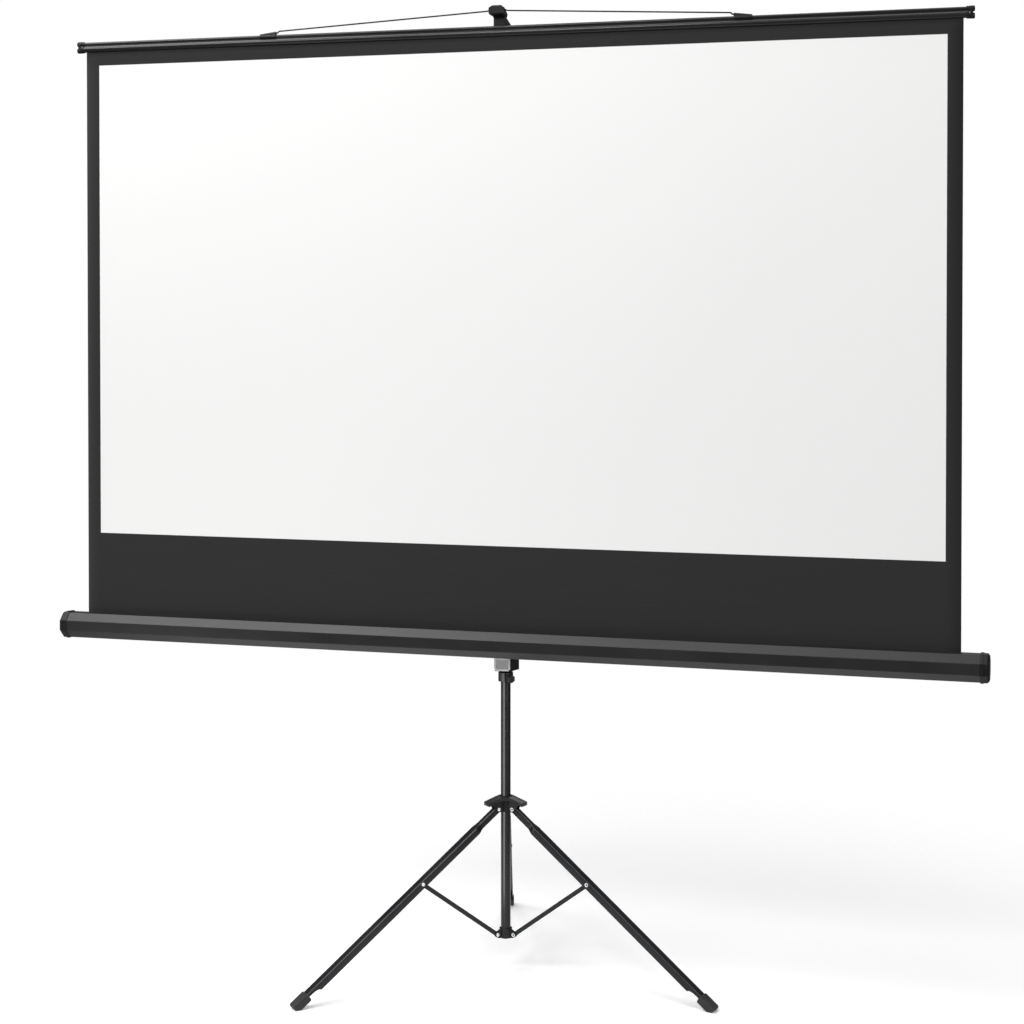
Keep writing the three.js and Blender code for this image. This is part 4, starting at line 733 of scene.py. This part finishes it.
cloth_width, cloth_depth, cloth_low, cloth_high = 2.288, -0.0723, roller_height, 2.3887
free_low, ripple, bar_travel = 0.9, 0.0009, 0.8
cloth_front = cloth_side("cloth_front", (-1.107, 1.099), (1.107, 2.344),
                         (0.016, 0.016, 0.017), (0.024, 0.024, 0.025), rough=0.86, depth=0.25)
cloth_back = cloth_side("cloth_back", None, None,
                        (0.030, 0.030, 0.031), (0.040, 0.040, 0.041), rough=0.9, depth=0.3)
cloth = bmesh.new()
bmesh.ops.create_grid(cloth, x_segments=64, y_segments=48, size=0.5)
bmesh.ops.scale(cloth, vec=(cloth_width, cloth_high - cloth_low, 1), verts=cloth.verts)
bmesh.ops.rotate(cloth, cent=(0, 0, 0), matrix=Matrix.Rotation(math.pi / 2, 3, "X"), verts=cloth.verts)
bmesh.ops.translate(cloth, vec=(0, cloth_depth, (cloth_low + cloth_high) / 2), verts=cloth.verts)
flat_map = cloth.loops.layers.uv.new("cloth")
for square in cloth.faces:
    for loop in square.loops:
        loop[flat_map].uv = (loop.vert.co.x, loop.vert.co.z)
for vert in cloth.verts:
    free = math.sin(math.pi * min(1, max(0, (vert.co.z - free_low) / (cloth_high - free_low))))
    outward = abs(vert.co.x) / (cloth_width / 2)
    vert.co.y += ripple * free * math.sin(9.0 * vert.co.x + 0.8) * (0.4 + 0.6 * outward)
bmesh.ops.transform(cloth, matrix=stand, verts=cloth.verts)
face(cloth, Vector((0, -1, 0)))
cloth_mesh = bpy.data.meshes.new("stretched_cloth")
cloth.to_mesh(cloth_mesh)
cloth.free()
cloth_mesh.materials.append(cloth_front)
cloth_mesh.materials.append(cloth_back)
cloth_mesh.shade_smooth()
stretched_cloth = bpy.data.objects.new("stretched_cloth", cloth_mesh)
scene.collection.objects.link(stretched_cloth)
thick = stretched_cloth.modifiers.new("thickness", "SOLIDIFY")
thick.thickness = 0.0006
thick.offset = -1
thick.material_offset = 1
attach(stretched_cloth, "mast")
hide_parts("screen_cloth")
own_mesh(stretched_cloth)
coat(cloth_back, "cloth_wrap")


# Top bar: a drawn section with a round lower bead that grips the cloth in a slot and a thin upper
# bead for the clips, painted black. Moulded caps with two domed lobes close its ends.
bar_paint = surface("bar_paint", (0.014, 0.014, 0.015), (0.020, 0.020, 0.021), rough=(0.20, 0.24),
                    grain_size=1500, patch_size=6, depth=0.006, gloss=0.3)
bar_depth, bar_height, bar_length = -0.072, 2.3885, 2.300
bar_end = bar_length / 2
bar_place = stand @ Matrix.Translation((0, bar_depth, bar_height))
bead, thin_bead, bead_gap, half_neck, half_slot = 0.0085, 0.0045, 0.0137, 0.0026, 0.0008
neck = math.degrees(math.acos(half_neck / bead))
upper_neck = math.degrees(math.acos(half_neck / thin_bead))
mouth = math.degrees(math.acos(half_slot / bead))
beads = (arc(0, 0, bead, -mouth, neck, 18)
         + arc(0, bead_gap, thin_bead, -upper_neck, 180 + upper_neck, 18)
         + arc(0, 0, bead, 180 - neck, 180 + mouth, 18) + [(-half_slot, 0.0005), (half_slot, 0.0005)])
fit(drawn(beads, bar_length), "cloth_bar", "bar", bar_paint, ["top_bar"], bar_place)

low, high = 0.0102, 0.0062
cross = (bead_gap ** 2 + low ** 2 - high ** 2) / (2 * bead_gap)
waist = math.sqrt(low ** 2 - cross ** 2)
low_turn, high_turn = math.degrees(math.acos(waist / low)), math.degrees(math.acos(waist / high))
shell_side = (arc(0, 0, low, -90, low_turn, 18)
              + arc(0, bead_gap, high, -high_turn, 180 + high_turn, 14)[1:]
              + arc(0, 0, low, 180 - low_turn, 270, 18)[1:-1])
barrel_side = arc(0, -0.0035, 0.0071, 180, 360, 14) + arc(0, 0.0133, 0.0071, 0, 180, 14)
lobe = [(0, 0), (0.0070, 0)] + arc(0.0045, 0.0105, 0.0025, 0, 90, 6) + [(0, 0.013)]


def rimmed(points, length, ease):
    """A drawn length with the rims of both ends eased."""
    shape = drawn(points, length)
    ease_edges(shape, [edge for edge in shape.edges if edge.calc_face_angle(0) > 1.2], ease)
    return shape


for name, side in [("left", -1), ("right", 1)]:
    shell = moved(rimmed(shell_side, 0.007, 0.0008), Matrix.Translation((bar_end + 0.0038, 0, 0)))
    barrel = moved(rimmed(barrel_side, 0.0068, 0.0008), Matrix.Translation((bar_end + 0.0123, 0, 0)))
    knobs = [moved(turned(lobe, closed=False, steps=32),
                   Matrix.Translation((bar_end + 0.007, 0, 0.00485 + z))
                   @ Matrix.Rotation(math.pi / 2, 4, "Y"))
             for z in (-0.0084, 0.0084)]
    cap = moved(gather(shell, barrel, *knobs), Matrix.Diagonal((side, 1, 1, 1)))
    bmesh.ops.recalc_face_normals(cap, faces=cap.faces)
    fit(cap, name + "_bar_end", "bar", nylon, [name + "_bar_cap"], bar_place)


# Bail: one length of bent black wire, hinged in two moulded clips that snap on the bar's upper
# bead and slope down to its ends. Its raised middle hangs over the saddle of the hook head.
clip_reach, clip_slope, wire_height, wire_lean = 0.621, 0.003, 2.4110, 3
clip_side = (arc(0, 0, 0.0071, -40, 55, 8) + [(0.0042, 0.0080)] + arc(0, 0.0088, 0.0042, 10, 170, 10)
             + [(-0.0042, 0.0080)] + arc(0, 0, 0.0071, 125, 220, 8))
for name, side in [("left", -1), ("right", 1)]:
    clip = rimmed(clip_side, 0.045, 0.0009)
    for vert in clip.verts:
        if vert.co.z > clip_slope and vert.co.x * side > 0:
            vert.co.z = clip_slope + (vert.co.z - clip_slope) * 0.45
    fit(clip, name + "_clip", "bar", nylon, [name + "_bail_clip"],
        bar_place @ Matrix.Translation((side * clip_reach, 0, bead_gap)))

half_wire = [(0.6130, 0), (0.5953, 0), (0.5913, 0.0045), (0.024, 0.033), (0.0115, 0.0425)]
line = [Vector((-x, 0, z)) for x, z in half_wire] + [Vector((x, 0, z)) for x, z in reversed(half_wire)]
route = [line[0]]
for before, corner, after in zip(line, line[1:], line[2:]):
    back, ahead = (before - corner).normalized(), (after - corner).normalized()
    ease = min(0.004, (before - corner).length * 0.45, (after - corner).length * 0.45)
    for t in [0, 0.2, 0.4, 0.6, 0.8, 1]:
        route.append(corner + back * ease * (1 - t) ** 2 + ahead * ease * t * t)
route.append(line[-1])
wire = bmesh.new()
bmesh.ops.create_circle(wire, cap_ends=True, segments=14, radius=0.0019)
bmesh.ops.rotate(wire, cent=(0, 0, 0), matrix=Matrix.Rotation(math.pi / 2, 3, "Y"), verts=wire.verts)
bmesh.ops.translate(wire, vec=route[0], verts=wire.verts)
ring = list(wire.edges)
heading = 0
for index in range(1, len(route)):
    nearby = route[min(index + 1, len(route) - 1)] - route[index - 1]
    turn = math.atan2(nearby.z, nearby.x)
    row, ring = carried_on(wire, ring)
    bmesh.ops.translate(wire, vec=route[index] - route[index - 1], verts=row)
    bmesh.ops.rotate(wire, cent=route[index], matrix=Matrix.Rotation(heading - turn, 3, "Y"), verts=row)
    heading = turn
bmesh.ops.holes_fill(wire, edges=ring, sides=0)
bmesh.ops.recalc_face_normals(wire, faces=wire.faces)
fit(wire, "bent_wire", "bail", powder_coat, ["bail_wire"],
    stand @ Matrix.Translation((0, bar_depth, wire_height))
    @ Matrix.Rotation(math.radians(wire_lean), 4, "X"))


# Hook head: a solid nylon moulding pushed on the rod, with a neck that reaches forward under a
# beak and a saddle for the bail. All its edges are softly rounded.
moulded("hook_head", "moulded_hook", "extension", nylon, 0.0011)


# Stand panels: two soft lights that fall on the stand alone, one beside the pole and one high in
# front of the legs, to draw the long highlights of coated tubes and pressed edges.
pole_panel = soft_light("pole_panel", (-0.19, -0.53, 0.47), (0, -0.0708, 0.47), (0.30, 0.85), 7.5)
leg_panel = soft_light("leg_panel", (0.8, -3.1, 3.9), (0.1, -0.3, 0.25), (3.6, 1.3), 170)
pole_pieces = ["lower_pole", "pole_clamp_collar", "pole_clamp_knob_grip"]
leg_pieces = [name + end for end in ("_channel", "_strut") for name in leg_names] + ["crown_roof"]
for lamp, pieces in [(pole_panel, pole_pieces), (leg_panel, leg_pieces)]:
    lit = bpy.data.collections.new(lamp.name)
    for name in pieces:
        lit.objects.link(bpy.data.objects[name])
    lamp.light_linking.receiver_collection = lit
    lamp.light_linking.blocker_collection = lit
